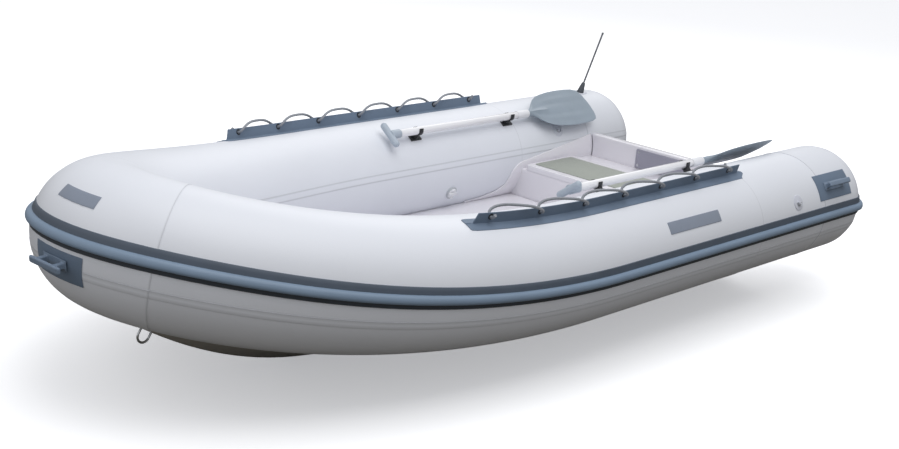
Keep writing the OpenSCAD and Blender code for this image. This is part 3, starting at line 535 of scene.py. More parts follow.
@dataclass(frozen=True)
class CollarLine:
    """The line that the air tube follows, to port, and its sizes."""

    tube_r: float = 0.220
    tube_y: float = 0.617
    axis_z: float = 0.390
    bend_x: float = 0.030
    apex_x: float = 1.55193
    full_x: float = 1.9
    full_y: float = 2.0
    bow_rise: float = 0.159
    rise_x: float = 0.0
    rise_power: float = 2.55
    bow_swell: float = 0.05
    cone_x: float = -1.610
    cone_depth: float = 0.165

    def rise(self, x: float) -> float:
        """How far the line has risen at a distance ahead of midships."""
        ahead = max(x - self.rise_x, 0) / (self.apex_x - self.rise_x)
        return self.bow_rise * ahead**self.rise_power

    def point(self, turn: float) -> Vector:
        """The point of the bow curve at a turn, from 0 to 180 degrees."""
        angle = math.radians(turn)
        x = self.bend_x + (self.apex_x - self.bend_x) * max(math.sin(angle), 0) ** (2 / self.full_x)
        y = self.tube_y * math.copysign(abs(math.cos(angle)) ** (2 / self.full_y), math.cos(angle))
        return Vector((x, y, self.axis_z + self.rise(x)))

    def facing(self, centre: Vector, along: Vector, share: float = 1.0, bow: float = 0.0) -> Station:
        """Makes a station from its centre and the line's direction."""
        ahead = along.normalized()
        out = Vector((-along.y, along.x, 0)).normalized()
        return Station(centre, out, ahead.cross(out), ahead, share, bow, self.tube_r * self.bow_swell * bow)

    def straight(self, x: float) -> Station:
        """A station of the straight stretch."""
        return self.facing(Vector((x, self.tube_y, self.axis_z)), Vector((1, 0, 0)))

    def bow(self, turn: float) -> Station:
        """A station of the bow curve."""
        along = self.point(turn + 0.5) - self.point(turn - 0.5)
        return self.facing(self.point(turn), along, 1.0, math.sin(math.radians(turn)) ** 2)

    def cone(self, degrees: float) -> Station:
        """A station on the rounded stern end, turned round its middle."""
        angle = math.radians(degrees)
        share = 1 / math.hypot(math.cos(angle), math.sin(angle) * self.tube_r / self.cone_depth)
        direction = Vector((math.cos(angle), math.sin(angle), 0))
        return self.facing(Vector((self.cone_x, self.tube_y, self.axis_z)), direction, share)

    def at_x(self, x: float) -> Station:
        """The port station at a distance ahead of midships."""
        if x <= self.bend_x:
            return self.straight(x)
        share = (x - self.bend_x) / (self.apex_x - self.bend_x)
        return self.bow(math.degrees(math.asin(share ** (self.full_x / 2))))


LINE = CollarLine()


# ---- Collar ------------------------------------------------------------------------------


@dataclass
class Collar:
    """The air tube: a bow panel, two panels a side and two stern cones.

    Attributes:
        bow_seam: Turn along the bow curve where the bow panel is joined.
        aft_seam_x: Seam behind the long panels.
        cone_seam_x: Seam ahead of the stern cones.
        lap: How far a panel laps over the next.
        lap_edge: How wide the marked edge of a lap is.
        bow_lap: How far the bow panel laps over its neighbours, in degrees of turn.
        bow_lap_edge: How wide its marked edge is, in degrees of turn.
        ply: How far a lap stands up.
        tape_half: Half width of the tape along a panel, in degrees round the tube.
        tape_places: Angles of those tapes from outboard.
        tape_climb: How much further up they are at the bow, in degrees.
        wall: Thickness of the cloth.
    """

    bow_seam: float = 75.0
    aft_seam_x: float = -0.850
    cone_seam_x: float = -1.380
    lap: float = 0.024
    lap_edge: float = 0.004
    bow_lap: float = 1.35
    bow_lap_edge: float = 0.3
    ply: float = 0.0011
    tape_half: float = 3.3
    tape_places: tuple[float, ...] = (-20.0, 166.0)
    tape_climb: float = 10.0
    wall: float = 0.0012

    def angles(self) -> list[float]:
        """Angles of the points round the tube, with close pairs at each tape's edges."""
        rims = [s * (self.tape_half + d) for s in (-1, 1) for d in (0, 0.12, 0.9)]
        edges = [place + rim for place in self.tape_places for rim in rims]
        plain = [a for a in range(-180, 180, 4) if all(abs(a - e) > 1.2 for e in edges)]
        return [*sorted(plain + edges), 180.0 if -180 in plain else plain[0] + 360]

    def tape_lift(self, angle: float) -> float:
        """How far the tape stands up at an angle: 1 on it and 0 off it."""
        near = min(abs(angle - p) for p in self.tape_places)
        return 1.0 if near < self.tape_half + 0.06 else 0.0

    def tape_mark(self, angle: float) -> float:
        """The seam mark at an angle: 1 at a tape's edge."""
        near = min(abs(abs(angle - p) - self.tape_half) for p in self.tape_places)
        return 1.0 if near < 0.2 else 0.0

    def panel(self, name: str, rows: list[tuple[Station, float, float]]) -> bpy.types.Object:
        """Models a panel from its rows.

        Args:
            name: The piece's name.
            rows: A station, its lift above the tube and its seam mark, in order.

        Returns:
            The panel, with a wall.
        """
        angles = self.angles()

        def place(row: int, column: int) -> tuple[Vector, float]:
            station, lift, mark = rows[row]
            angle = angles[column]
            radius = LINE.tube_r + lift + self.ply * self.tape_lift(angle)
            turned = angle + self.tape_climb * station.bow
            return station.on_ring(radius, turned), max(mark, self.tape_mark(angle))

        made = skin(name, len(rows), len(angles), place, ring=True)
        apply_modifier(made, "SOLIDIFY", thickness=self.wall, offset=-1.0)
        smooth(made, 40)
        return made

    def fore_rows(self, side: Side) -> list[tuple[Station, float, float]]:
        """Rows of a long side panel, which laps over the panel behind it."""
        line = [LINE.straight(x) for x in steps(self.aft_seam_x, LINE.bend_x, 10)]
        line += [LINE.bow(t) for t in steps(2.0, self.bow_seam, 34)]
        edge = self.aft_seam_x - self.lap
        rows = [(LINE.straight(edge), self.ply, 1.0), (LINE.straight(edge + self.lap_edge), self.ply, 0.0)]
        rows += [(s, 0.0 if i else self.ply, 0.0) for i, s in enumerate(line)]
        return self.to_side(rows, side)

    def bow_rows(self) -> list[tuple[Station, float, float]]:
        """Rows of the bow panel, which laps over both long panels."""
        line = [LINE.bow(t) for t in steps(self.bow_seam, 180 - self.bow_seam, 20)]
        start = self.bow_seam - self.bow_lap
        rows = [(LINE.bow(start), self.ply, 1.0), (LINE.bow(start + self.bow_lap_edge), self.ply, 0.0)]
        rows += [(s, self.ply if i in (0, len(line) - 1) else 0.0, 0.0) for i, s in enumerate(line)]
        end = 180 - self.bow_seam + self.bow_lap
        return rows + [(LINE.bow(end - self.bow_lap_edge), self.ply, 0.0), (LINE.bow(end), self.ply, 1.0)]

    def aft_rows(self, side: Side) -> list[tuple[Station, float, float]]:
        """Rows of a short panel ahead of a stern cone."""
        xs = steps(self.cone_seam_x, self.aft_seam_x, 6)
        return self.to_side([(LINE.straight(x), 0.0, 0.0) for x in xs], side)

    def cone_rows(self, side: Side) -> list[tuple[Station, float, float]]:
        """Rows of a stern cone, from its pole to its lapped seam."""
        rows = []
        for degrees in (0.5, 2, 4, 7, 11, 16, 22, 29, 36, 44, 52, 60, 68, 76, 84):
            share = math.sin(math.radians(degrees))
            x = LINE.cone_x - LINE.cone_depth * math.cos(math.radians(degrees))
            rows.append((LINE.straight(x), LINE.tube_r * (share - 1), 0.0))
        rows += [(LINE.straight(x), 0.0, 0.0) for x in steps(LINE.cone_x, self.cone_seam_x, 5)]
        front = self.cone_seam_x + self.lap
        rows += [(LINE.straight(front - 0.004), self.ply, 0.0), (LINE.straight(front), self.ply, 1.0)]
        return self.to_side(rows, side)

    @staticmethod
    def to_side(rows: list[tuple[Station, float, float]], side: Side) -> list[tuple[Station, float, float]]:
        """Mirrors rows to starboard where they belong there."""
        if side is Side.PORT:
            return rows
        return [(s.mirrored(), lift, mark) for s, lift, mark in rows]

    def build(self, finishes: Finishes) -> None:
        """Builds and dresses the collar."""
        cloth = finishes["coated_cloth"]
        dress(self.panel("bow_panel", self.bow_rows()), "boat", cloth, "tube_fabric", "tube_bow")
        for side in Side:
            fore = self.panel(f"fore_panel_{side.word}", self.fore_rows(side))
            dress(fore, "boat", cloth, "tube_fabric", f"tube_{side.word}_fore")
            aft = self.panel(f"aft_panel_{side.word}", self.aft_rows(side))
            dress(aft, "boat", cloth, "tube_fabric", f"tube_{side.word}_aft")
            cone = self.panel(f"stern_cone_{side.word}", self.cone_rows(side))
            dress(cone, "boat", finishes["coated_cloth_stern"], "cone_fabric", f"cone_{side.word}")
            wall = eased(f"baffle_{side.word}", f"chamber_wall_{side.word}")
            dress(wall, "boat", finishes["raw_cloth"], "inner_fabric", f"baffle_{side.word}")
        tapes = eased("seam_tapes", "inner_seam_tapes")
        dress(tapes, "boat", finishes["raw_cloth"], "inner_fabric", "seam_tapes")


# ---- Fender ------------------------------------------------------------------------------


@dataclass
class Fender:
    """The rubber strip round the collar: a flat band and a ridge on it.

    Attributes:
        wrap: How far it turns round each stern cone, in degrees.
        gap: Its distance from the cloth.
        band: Thickness of the band.
        proud: How far the ridge stands out from the cloth.
        band_edges: Heights of the band's edges above the tube's axis.
        ridge_edges: Heights of the ridge's edges.
        ridge_form: Outline of the ridge, as shares of its reach and its height.
        lift: How much higher the strip runs round the bow.
    """

    wrap: float = 125.0
    gap: float = 0.0003
    band: float = 0.004
    proud: float = 0.020
    band_edges: tuple[float, float] = (-0.024, 0.046)
    ridge_edges: tuple[float, float] = (-0.008, 0.022)
    lift: float = 0.053
    ridge_form: tuple[tuple[float, float], ...] = (
        (0.0, 0.0), (0.35, -0.015), (0.62, 0.03), (0.84, 0.12), (0.96, 0.25), (1.0, 0.40),
        (0.99, 0.52), (0.94, 0.66), (0.84, 0.79), (0.66, 0.90), (0.40, 0.97), (0.0, 1.0),
    )

    def stations(self) -> list[Station]:
        """Every station of the strip, from one stern end to the other."""
        port = [LINE.cone(a) for a in steps(self.wrap, 5.0, 24)]
        port += [LINE.straight(x) for x in steps(LINE.cone_x, LINE.bend_x, 16)]
        return port + [LINE.bow(t) for t in steps(2, 178, 88)] + [s.mirrored() for s in reversed(port)]

    def strip(self, name: str, outline: list[tuple[float, float]]) -> bpy.types.Object:
        """Models a strip from its outline.

        Args:
            name: The piece's name.
            outline: Distances out from the cloth and heights above the axis, all the way round.

        Returns:
            The strip.
        """
        line = self.stations()
        loop = [*outline, outline[0]]

        def place(row: int, column: int) -> tuple[Vector, float]:
            station = line[row]
            off, height = loop[column]
            up = height + self.lift * station.bow
            side = station.share * math.sqrt((LINE.tube_r + station.extra) ** 2 - up**2)
            # Points of the band below the ridge get the seam mark, which paints the shade under the ridge
            # there.
            return station.at(side + off, up), 1.0 if height < self.ridge_edges[0] else 0.0

        made = skin(name, len(line), len(loop), place, ring=True, caps=True)
        smooth(made, 40)
        return made

    def build(self, finishes: Finishes) -> None:
        """Builds and dresses the strip."""
        low, high = self.band_edges
        outer = self.gap + self.band
        ease = 0.0012
        front = [(outer - ease, low), (outer, low + ease)]
        front += [(outer, height) for height in (-0.0085, -0.0078, 0.006, 0.020, 0.034)]
        front += [(outer, high - ease), (outer - ease, high)]
        back = [(self.gap, mix(high, low, k)) for k in (0, 0.25, 0.5, 0.75, 1)]
        band = self.strip("rubber_band", front + back)
        dress(band, "boat", finishes["rubber_band"], "fender_dark", "fender_band")
        low, high = self.ridge_edges
        reach = self.proud - outer
        front = [(outer + 0.0002 + reach * p, mix(low, high, q)) for p, q in self.ridge_form]
        ridge = self.strip("rubber_ridge", front)
        dress(ridge, "boat", finishes["rubber_ridge"], "fender_blue", "fender_ridge")


# ---- Hull, deck and transom --------------------------------------------------------------


@dataclass
class Hull:
    """The moulded hull, the deck, the seat, the transom and the steel eye under the bow.

    Attributes:
        transom_x: The transom's inner face.
        transom_t: Its thickness.
        shell: Thickness of the hull.
        deck: Thickness of the deck.
        floor_z: Height of the cockpit floor.
        keel_half: Half width of the keel's flat.
        keel_rise_x: Where the keel starts to rise.
        stem_rise: Height of the stem head.
        end_turn: Turn along the bow curve where the hull ends.
        chine: Where the hull meets the tube, round from outboard, on the straight and at the stem.
        flange: Where the hull's edge ends, in the same way.
        floor_angle: Where the floor meets the tube.
    """

    transom_x: float = -1.375
    transom_t: float = 0.045
    shell: float = 0.006
    deck: float = 0.005
    floor_z: float = 0.245
    keel_half: float = 0.050
    keel_rise_x: float = 0.600
    stem_rise: float = 0.320
    end_turn: float = 88.0
    chine: tuple[float, float] = (-112.0, -83.0)
    flange: tuple[float, float] = (-136.0, -95.0)
    floor_angle: float = -138.997

    def keel(self, x: float) -> tuple[float, float]:
        """The keel's half width and height at a distance ahead of midships."""
        stem_x = LINE.apex_x + LINE.tube_r * (1 + LINE.bow_swell) * math.cos(math.radians(83))
        ahead = max(x - self.keel_rise_x, 0) / (stem_x - self.keel_rise_x)
        return mix(self.keel_half, 0.008, ahead), self.stem_rise * ahead**2.13

    def half_section(self, station: Station, turn: float) -> list[Vector]:
        """The hull's outer side at a station, from keel to flange.

        Args:
            station: A station to port.
            turn: Its turn along the bow curve, or 0.

        Returns:
            Points in order.
        """
        share = (turn / 90) ** 2
        radius = LINE.tube_r + 0.0006
        start, end = (mix(*pair, share) for pair in (self.chine, self.flange))
        chine = station.on_ring(radius, start)
        half, height = self.keel(chine.x)
        keel = Vector((chine.x, half, height))
        middle = Vector((chine.x, half * 0.5, height - 0.0003))
        sag = 0.009 * (1 - share)
        points = [middle, keel + Vector((0, -0.004, 0)), keel + Vector((0, 0.003, 0.0012))]
        for k in (0.12, 0.28, 0.45, 0.62, 0.8, 0.93):
            bow_out = sag * 4 * k * (1 - k) * 0.9
            points.append(keel.lerp(chine, k) - Vector((0, 0, bow_out)))
        points += [station.on_ring(radius, mix(start, end, k)) for k in (0.02, 0.2, 0.4, 0.6, 0.8, 1)]
        return points

    def rows(self) -> list[tuple[Station, float]]:
        """Stations of the hull with their turns, from the transom to the stem."""
        found = [(LINE.straight(x), 0.0) for x in steps(self.transom_x - self.transom_t, LINE.bend_x, 8)]
        return found + [(LINE.bow(t), t) for t in steps(2.5, self.end_turn, 34)]

    def hull_shell(self) -> bpy.types.Object:
        """Models the hull."""
        sections = [self.half_section(s, t) for s, t in self.rows()]
        flip = Vector((1, -1, 1))
        whole = [[p * flip for p in reversed(half)] + half for half in sections]
        made = skin("hull_moulding", len(whole), len(whole[0]), lambda r, c: (whole[r][c], 0.0))
        self.face_down(made)
        apply_modifier(made, "SOLIDIFY", thickness=self.shell * 0.75, offset=-1.0)
        smooth(made, 28)
        return made

    @staticmethod
    def face_down(made: bpy.types.Object) -> None:
        """Turns an open sheet so that its middle faces down."""
        middle = min(made.data.polygons, key=lambda f: f.center.z)
        if middle.normal.z > 0:
            edit(made, lambda: bpy.ops.mesh.flip_normals())

    def floor(self) -> bpy.types.Object:
        """Models the cockpit floor, with its edges turned up against the tubes."""
        shares = (0.0, 0.2, 0.4, 0.6, 0.75, 0.88, 0.93, 0.965, 0.985, 1.0)
        lifts = (0, 0, 0, 0, 0, 0, 0.02, 0.18, 0.5, 1.0)
        whole = []
        places = [(LINE.straight(x), 0.0) for x in steps(self.transom_x, LINE.bend_x, 6)]
        places += [(LINE.bow(t), t) for t in steps(2.5, 85, 33)]
        for station, turn in places:
            edge = station.on_ring(LINE.tube_r + 0.001, self.floor_angle)
            low = self.floor_z + (edge.z - self.floor_z) * math.sqrt(turn / self.end_turn)
            half = [Vector((edge.x, edge.y * k, mix(low, edge.z, up))) for k, up in zip(shares, lifts)]
            whole.append([Vector((p.x, -p.y, p.z)) for p in reversed(half[1:])] + half)
        made = skin("cockpit_floor", len(whole), len(whole[0]), lambda r, c: (whole[r][c], 0.0))
        self.face_down(made)
        edit(made, lambda: bpy.ops.mesh.flip_normals())
        apply_modifier(made, "SOLIDIFY", thickness=self.deck, offset=-1.0)
        smooth(made, 30)
        return made

    def build(self, finishes: Finishes) -> None:
        """Builds and dresses the mouldings."""
        dress(self.hull_shell(), "boat", finishes["gel_coat_hull"], "hull_laminate", "hull_shell")
        dress(self.floor(), "boat", finishes["gel_coat"], "deck_laminate", "deck_liner")
        seat = eased("seat_shell", "seat_moulding", 0.0045, 3)
        dress(seat, "boat", finishes["gel_coat"], "deck_laminate", "seat_shell")
        board = eased("transom_core", "transom_board", 0.006, 3)
        dress(board, "boat", finishes["gel_coat"], "hull_laminate", "transom_core")
        for face in ("inner", "outer"):
            plate = eased(f"motor_pad_{face}", f"motor_plate_{face}", 0.0016)
            dress(plate, "boat", finishes["motor_plate"], "pad_plastic", f"motor_pad_{face}")
        for node, name in (
            ("pad_screws", "plate_screws"), ("tow_eye", "steel_eye"),
            ("tow_eye_plate", "eye_backing"), ("tow_eye_nuts", "eye_nuts"),
        ):
            dress(eased(node, name, 0.0003), "boat", finishes["stainless"], "stainless", node)


@dataclass
class Locker:
    """The lid of the seat locker, its non-skid pad and its hinges."""

    rounding: float = 0.007

    def build(self, finishes: Finishes) -> None:
        """Builds and dresses the lid."""
        lid = eased("locker_lid", "lid_moulding", self.rounding, 4, 60)
        dress(lid, "lid", finishes["gel_coat"], "lid_laminate", "locker_lid")
        pad = eased("lid_pad", "non_skid_pad", 0.0011)
        dress(pad, "lid", finishes["non_skid"], "nonskid", "lid_pad")
        steel = finishes["stainless"]
        for node, name, body in (
            ("hinge_lid_leaves", "lid_leaves", "lid"),
            ("hinge_deck_leaves", "deck_leaves", "boat"),
            ("hinge_pins", "leaf_pins", "boat"),
        ):
            dress(eased(node, name, 0.0003), body, steel, "stainless", node)


# ---- Handles -----------------------------------------------------------------------------


@dataclass
class Handles:
    """The moulded carrying handles and the patches under them.

    Attributes:
        voxel: Grain of the remesh that melts the handle's parts into one moulding.
        melt: Passes of the smoothing after it.
    """

    voxel: float = 0.0019
    melt: int = 9

    def moulded(self, node: str, name: str) -> bpy.types.Object:
        """Melts a handle's bar and feet into one moulding."""
        made = copy_of(node, name)
        apply_modifier(made, "REMESH", mode="VOXEL", voxel_size=self.voxel)
        apply_modifier(made, "SMOOTH", factor=0.5, iterations=self.melt)
        smooth(made, 60)
        return made

    def build(self, finishes: Finishes) -> None:
        """Builds and dresses the handles."""
        patches = eased("handle_patches", "handle_bases", 0.0007)
        dress(patches, "boat", finishes["patch_cloth"], "patch_blue", "handle_patches")
        for node in ("bow_handle", "stern_handle_port", "stern_handle_starboard"):
            made = self.moulded(node, f"{node}_moulding")
            dress(made, "boat", finishes["moulded_grip"], "handle_plastic", node)


# ---- Grab line ---------------------------------------------------------------------------


@dataclass
class GrabLine:
    """The strips along the tubes, their eyelets and the ropes through them.

    Attributes:
        eyelet_x: Place of the first eyelet.
        pitch: Distance from one eyelet to the next.
        count: Eyelets on each strip.
        angle: Place of the strip round the tube.
        foot: Width of the strip's foot.
        foot_t: Thickness of the foot.
        wall: Thickness of the upright.
        tall: Height of the upright.
        rope: Diameter of the rope.
        lay: Length of one turn of the rope's strands.
    """

    eyelet_x: float = 0.560
    pitch: float = 0.227
    count: int = 7
    angle: float = 75.0
    foot: float = 0.072
    foot_t: float = 0.002
    wall: float = 0.004
    tall: float = 0.042
    rope: float = 0.010
    lay: float = 0.034
    arch: tuple[tuple[float, float, float], ...] = (
        (0, 0, 27), (3, -13, 31), (11, -21, 41), (32, -21, 53), (66, -13, 61), (112, 0, 63),
        (160, 13, 61), (195, 21, 53), (216, 21, 41), (224, 13, 31),
    )
    arch_span: float = 227.0
    start: tuple[tuple[float, float, float], ...] = ((-4, 24, 46), (-2, 13, 31))
    end: tuple[tuple[float, float, float], ...] = ((0, 0, 27), (3, -13, 31), (6, -24, 44))

    def spot(self, x: float, side: float, up: float) -> Vector:
        """A point above the port tube, beside the strip's upright."""
        station = LINE.at_x(x)
        angle = math.radians(self.angle)
        away = station.out * math.cos(angle) + station.up * math.sin(angle)
        outboard = station.out * math.sin(angle) - station.up * math.cos(angle)
        return station.centre + away * (LINE.tube_r + up) + outboard * side

    def route(self) -> list[Vector]:
        """The rope's points, from its fore end aft."""
        points = [self.spot(self.eyelet_x - p[0] * MM, p[1] * MM, p[2] * MM) for p in self.start]
        for i in range(self.count - 1):
            for along, side, up in self.arch:
                x = self.eyelet_x - (i + along / self.arch_span) * self.pitch
                points.append(self.spot(x, side * MM, up * MM))
        last = self.eyelet_x - (self.count - 1) * self.pitch
        return points + [self.spot(last - p[0] * MM, p[1] * MM, p[2] * MM) for p in self.end]

    @staticmethod
    def rounded(points: list[Vector], step: float) -> list[Vector]:
        """Runs a smooth curve through points.

        Args:
            points: The points it passes.
            step: Rough distance between the points returned.

        Returns:
            Points along the curve.
        """
        found = []
        padded = [points[0] * 2 - points[1], *points, points[-1] * 2 - points[-2]]
        for a, b, c, d in zip(padded, padded[1:], padded[2:], padded[3:]):
            count = max(1, round((c - b).length / step))
            for k in range(count):
                t = k / count
                square = (2 * a - 5 * b + 4 * c - d) * t**2
                cube = (3 * b - a - 3 * c + d) * t**3
                found.append(0.5 * (2 * b + (c - a) * t + square + cube))
        return [*found, points[-1]]

    def rope_mesh(self, name: str, side: Side) -> bpy.types.Object:
        """Models a three-strand rope along the route."""
        flip = Vector((1, side.value, 1))
        path = [p * flip for p in self.rounded(self.route(), 0.0042)]
        count = len(path)
        normals: list[Vector] = []
        carried = Vector((0.1, 1, 0.2))
        travelled = [0.0]
        for i in range(count):
            ahead = (path[min(i + 1, count - 1)] - path[max(i - 1, 0)]).normalized()
            carried = (carried - ahead * carried.dot(ahead)).normalized()
            normals.append(carried.copy())
            if i:
                travelled.append(travelled[-1] + (path[i] - path[i - 1]).length)
        columns = 19
        whole = travelled[-1]

        def place(row: int, column: int) -> tuple[Vector, float]:
            ahead = (path[min(row + 1, count - 1)] - path[max(row - 1, 0)]).normalized()
            a = normals[row]
            b = ahead.cross(a)
            around = math.tau * column / (columns - 1)
            strand = around - math.tau * travelled[row] / self.lay
            end = min(travelled[row], whole - travelled[row])
            radius = self.rope / 2 * (1.12 if end < 0.03 else 1.0)
            radius *= 0.80 + 0.24 * abs(math.cos(1.5 * strand))
            return path[row] + (a * math.cos(around) + b * math.sin(around)) * radius, 0.0

        made = skin(name, count, columns, place, ring=True, caps=True)
        smooth(made, 70)
        LOG.info("%s: %.3f m of rope", name, whole)
        return made

    def outline(self, half: float, tall: float) -> list[tuple[float, float]]:
        """The strip's section, as angles from its middle in degrees and heights."""
        low = 0.0005
        foot = low + self.foot_t
        spread = math.degrees(half / LINE.tube_r)
        wall = math.degrees(self.wall / 2 / LINE.tube_r)
        top = max(tall, foot + 0.001)
        side = [(spread, low), (spread - 0.1, foot - 0.0006), (spread - 0.4, foot), (spread * 0.6, foot)]
        side += [(wall * 2.6, foot + 0.0002), (wall * 1.2, foot + 0.0018)]
        side += [(wall, min(foot + 0.005, top - 0.0008))]
        side += [(wall * 0.85, top - 0.001), (wall * 0.4, top)]
        bottom = [(-spread * k, low) for k in (-0.5, 0.0, 0.5)]
        return [*[(-a, h) for a, h in side], *reversed(side), *[(a, h) for a, h in reversed(bottom)]]

    def strip_mesh(self, name: str, side: Side) -> bpy.types.Object:
        """Models a strip with a wide foot and an upright that ends in a slope."""
        fore = self.eyelet_x + 0.055
        aft = self.eyelet_x - (self.count - 1) * self.pitch - 0.076
        rows = [(aft - 0.038, 0.010, 0.0), (aft - 0.020, 0.020, 0.0)]
        rows += [(aft - 0.002, self.foot / 2 - 0.005, 0.001)]
        rows += [(x, self.foot / 2, self.tall) for x in steps(aft, fore, 60)]
        rows += [(fore + 0.004, self.foot / 2, self.tall * 0.7), (fore + 0.012, self.foot / 2, 0.006)]
        rows += [(fore + 0.016, self.foot / 2, 0.0), (fore + 0.034, self.foot / 2 - 0.003, 0.0)]
        rows += [(fore + 0.038, self.foot / 2 - 0.008, 0.0)]
        outlines = [self.outline(half, tall) for _, half, tall in rows]
        for loop in outlines:
            loop.append(loop[0])
        flip = Vector((1, side.value, 1))

        def place(row: int, column: int) -> tuple[Vector, float]:
            turn, height = outlines[row][column]
            return LINE.at_x(rows[row][0]).on_ring(LINE.tube_r + height, self.angle + turn) * flip, 0.0

        made = skin(name, len(rows), len(outlines[0]), place, ring=True, caps=True)
        smooth(made, 35)
        return made

    def build(self, finishes: Finishes) -> None:
        """Builds and dresses the grab lines."""
        for side in Side:
            strip = self.strip_mesh(f"line_strip_{side.word}", side)
            dress(strip, "boat", finishes["patch_cloth"], "patch_blue", f"grab_strip_{side.word}")
            rope = self.rope_mesh(f"line_rope_{side.word}", side)
            dress(rope, "boat", finishes["rope_fibre"], "rope_fibre", f"grab_rope_{side.word}")
        dress(eased("eyelets", "line_eyelets"), "boat", finishes["black_nylon"], "black_plastic", "eyelets")


# ---- Oars --------------------------------------------------------------------------------


@dataclass
class Oars:
    """The two stowed oars and the clips that hold them.

    Attributes:
        angle: Place of the oar round the tube, from outboard.
        lift: Height of its axis above the tube.
        neck_x: Where the blade's neck leaves the sleeve.
        outline: Distances ahead of midships and half widths of the blade, tip first.
        neck_r: Radius of the neck.
        edge: Half thickness of the blade's edge.
    """

    angle: float = 127.0
    lift: float = 0.038
    neck_x: float = -0.9045
    neck_r: float = 0.0128
    edge: float = 0.0022
    outline: tuple[tuple[float, float], ...] = (
        (-1.400, 0.030), (-1.3975, 0.052), (-1.392, 0.070), (-1.380, 0.086), (-1.350, 0.0965),
        (-1.300, 0.101), (-1.230, 0.1015), (-1.170, 0.0985), (-1.115, 0.0915), (-1.080, 0.083),
        (-1.050, 0.0700), (-1.020, 0.048),
        (-0.998, 0.028), (-0.982, 0.0175), (-0.960, 0.0130), (-0.9045, 0.0128),
    )

    def blade(self, name: str, side: Side) -> bpy.types.Object:
        """Models a blade with a tapering spine and two ribs that spread from its neck."""
        xs = [-1.400, -1.399, -1.3975, -1.395, -1.390, -1.380, *steps(-1.37, -0.96, 41), self.neck_x]
        across = 48
        station = LINE.straight(0)
        angle = math.radians(self.angle)
        away = station.out * math.cos(angle) + station.up * math.sin(angle)
        tangent = station.up * math.cos(angle) - station.out * math.sin(angle)
        axis = station.centre + away * (LINE.tube_r + self.lift)
        flip = Vector((1, side.value, 1))

        def place(row: int, column: int) -> tuple[Vector, float]:
            x = xs[row]
            half = between(self.outline, x)
            around = math.tau * column / across
            cosine, sine = math.cos(around), math.sin(around)
            flat = min(max((half - 0.0135) / 0.04, 0.0), 1.0)
            share = math.copysign(abs(cosine) ** mix(1.0, 0.75, flat), cosine)
            along = min(max((x + 1.400) / 0.42, 0.0), 1.0)
            spine = mix(0.0015, self.neck_r, along**1.6) * math.exp(-((share / 0.16) ** 2))
            swell = math.sin(math.pi * min(along * 1.1, 1.0))
            ribs = 0.0030 * swell * math.exp(-(((abs(share) - 0.52) / 0.13) ** 2))
            thick = mix(self.neck_r, self.edge + max(spine, 0) + ribs, flat)
            rise = math.copysign(abs(sine) ** mix(1.0, 0.35, flat), sine) * thick
            tip = 1.0 if x > -1.3985 else 0.35
            return (axis + Vector((x, 0, 0)) + tangent * share * half + away * rise * tip) * flip, 0.0

        made = skin(name, len(xs), across + 1, place, ring=True, caps=True)
        smooth(made, 40)
        return made

    def build(self, finishes: Finishes) -> None:
        """Builds and dresses the oars and their clips."""
        for side in Side:
            word, body = side.word, f"oar_{side.word}"
            blade = self.blade(f"blade_{word}", side)
            dress(blade, body, finishes["blade_plastic"], "blade_plastic", f"oar_blade_{word}")
            shaft = eased(f"oar_shaft_{word}", f"loom_{word}", 0.0008)
            dress(shaft, body, finishes["white_tube"], "shaft_white", f"oar_shaft_{word}")
            grip = eased(f"oar_grip_{word}", f"cross_grip_{word}", 0.0015)
            dress(grip, body, finishes["grip_plastic"], "grip_plastic", f"oar_grip_{word}")
            sleeve = eased(f"oar_sleeve_{word}", f"ferrule_{word}", 0.001)
            dress(sleeve, body, finishes["white_plastic"], "sleeve_plastic", f"oar_sleeve_{word}")
            clips = eased(f"oar_clips_{word}", f"clips_{word}", 0.0012)
            dress(clips, "boat", finishes["black_nylon"], "black_plastic", f"oar_clips_{word}")


# ---- Small fittings ----------------------------------------------------------------------


@dataclass
class Fittings:
    """The valves, the flagstaff, the lashing rings and the blank plates."""

    def build(self, finishes: Finishes) -> None:
        """Builds and dresses the fittings."""
        for side in Side:
            word = side.word
            valve = eased(f"valve_{word}", f"valve_body_{word}", 0.001)
            dress(valve, "boat", finishes["valve_plastic"], "valve_plastic", f"valve_{word}")
            cap = eased(f"valve_cap_{word}", f"valve_lid_{word}", 0.0008)
            dress(cap, f"cap_{word}", finishes["white_plastic"], "cap_plastic", f"valve_cap_{word}")
            for place in ("outer", "inner"):
                node = f"ring_{place}_{word}"
                ring = eased(node, f"lashing_{node}")
                dress(ring, f"ring_{place[0]}{word[0]}", finishes["stainless"], "stainless", node)
        for node, name, finish, slot, width in (
            ("ring_patches", "ring_bases", "patch_pale", "patch_grey", 0.0006),
            ("name_plates", "blank_plates", "blank_plate", "plate_grey", 0.0004),
            ("staff_patch", "staff_base", "patch_pale", "patch_grey", 0.0006),
            ("staff_boot", "staff_socket", "dark_rubber", "boot_rubber", 0.0012),
        ):
            dress(eased(node, name, width), "boat", finishes[finish], slot, node)
        staff = eased("flagstaff", "staff_rod")
        dress(staff, "staff", finishes["rod_grey"], "staff_glass", "flagstaff")


# ---- Studio ------------------------------------------------------------------------------


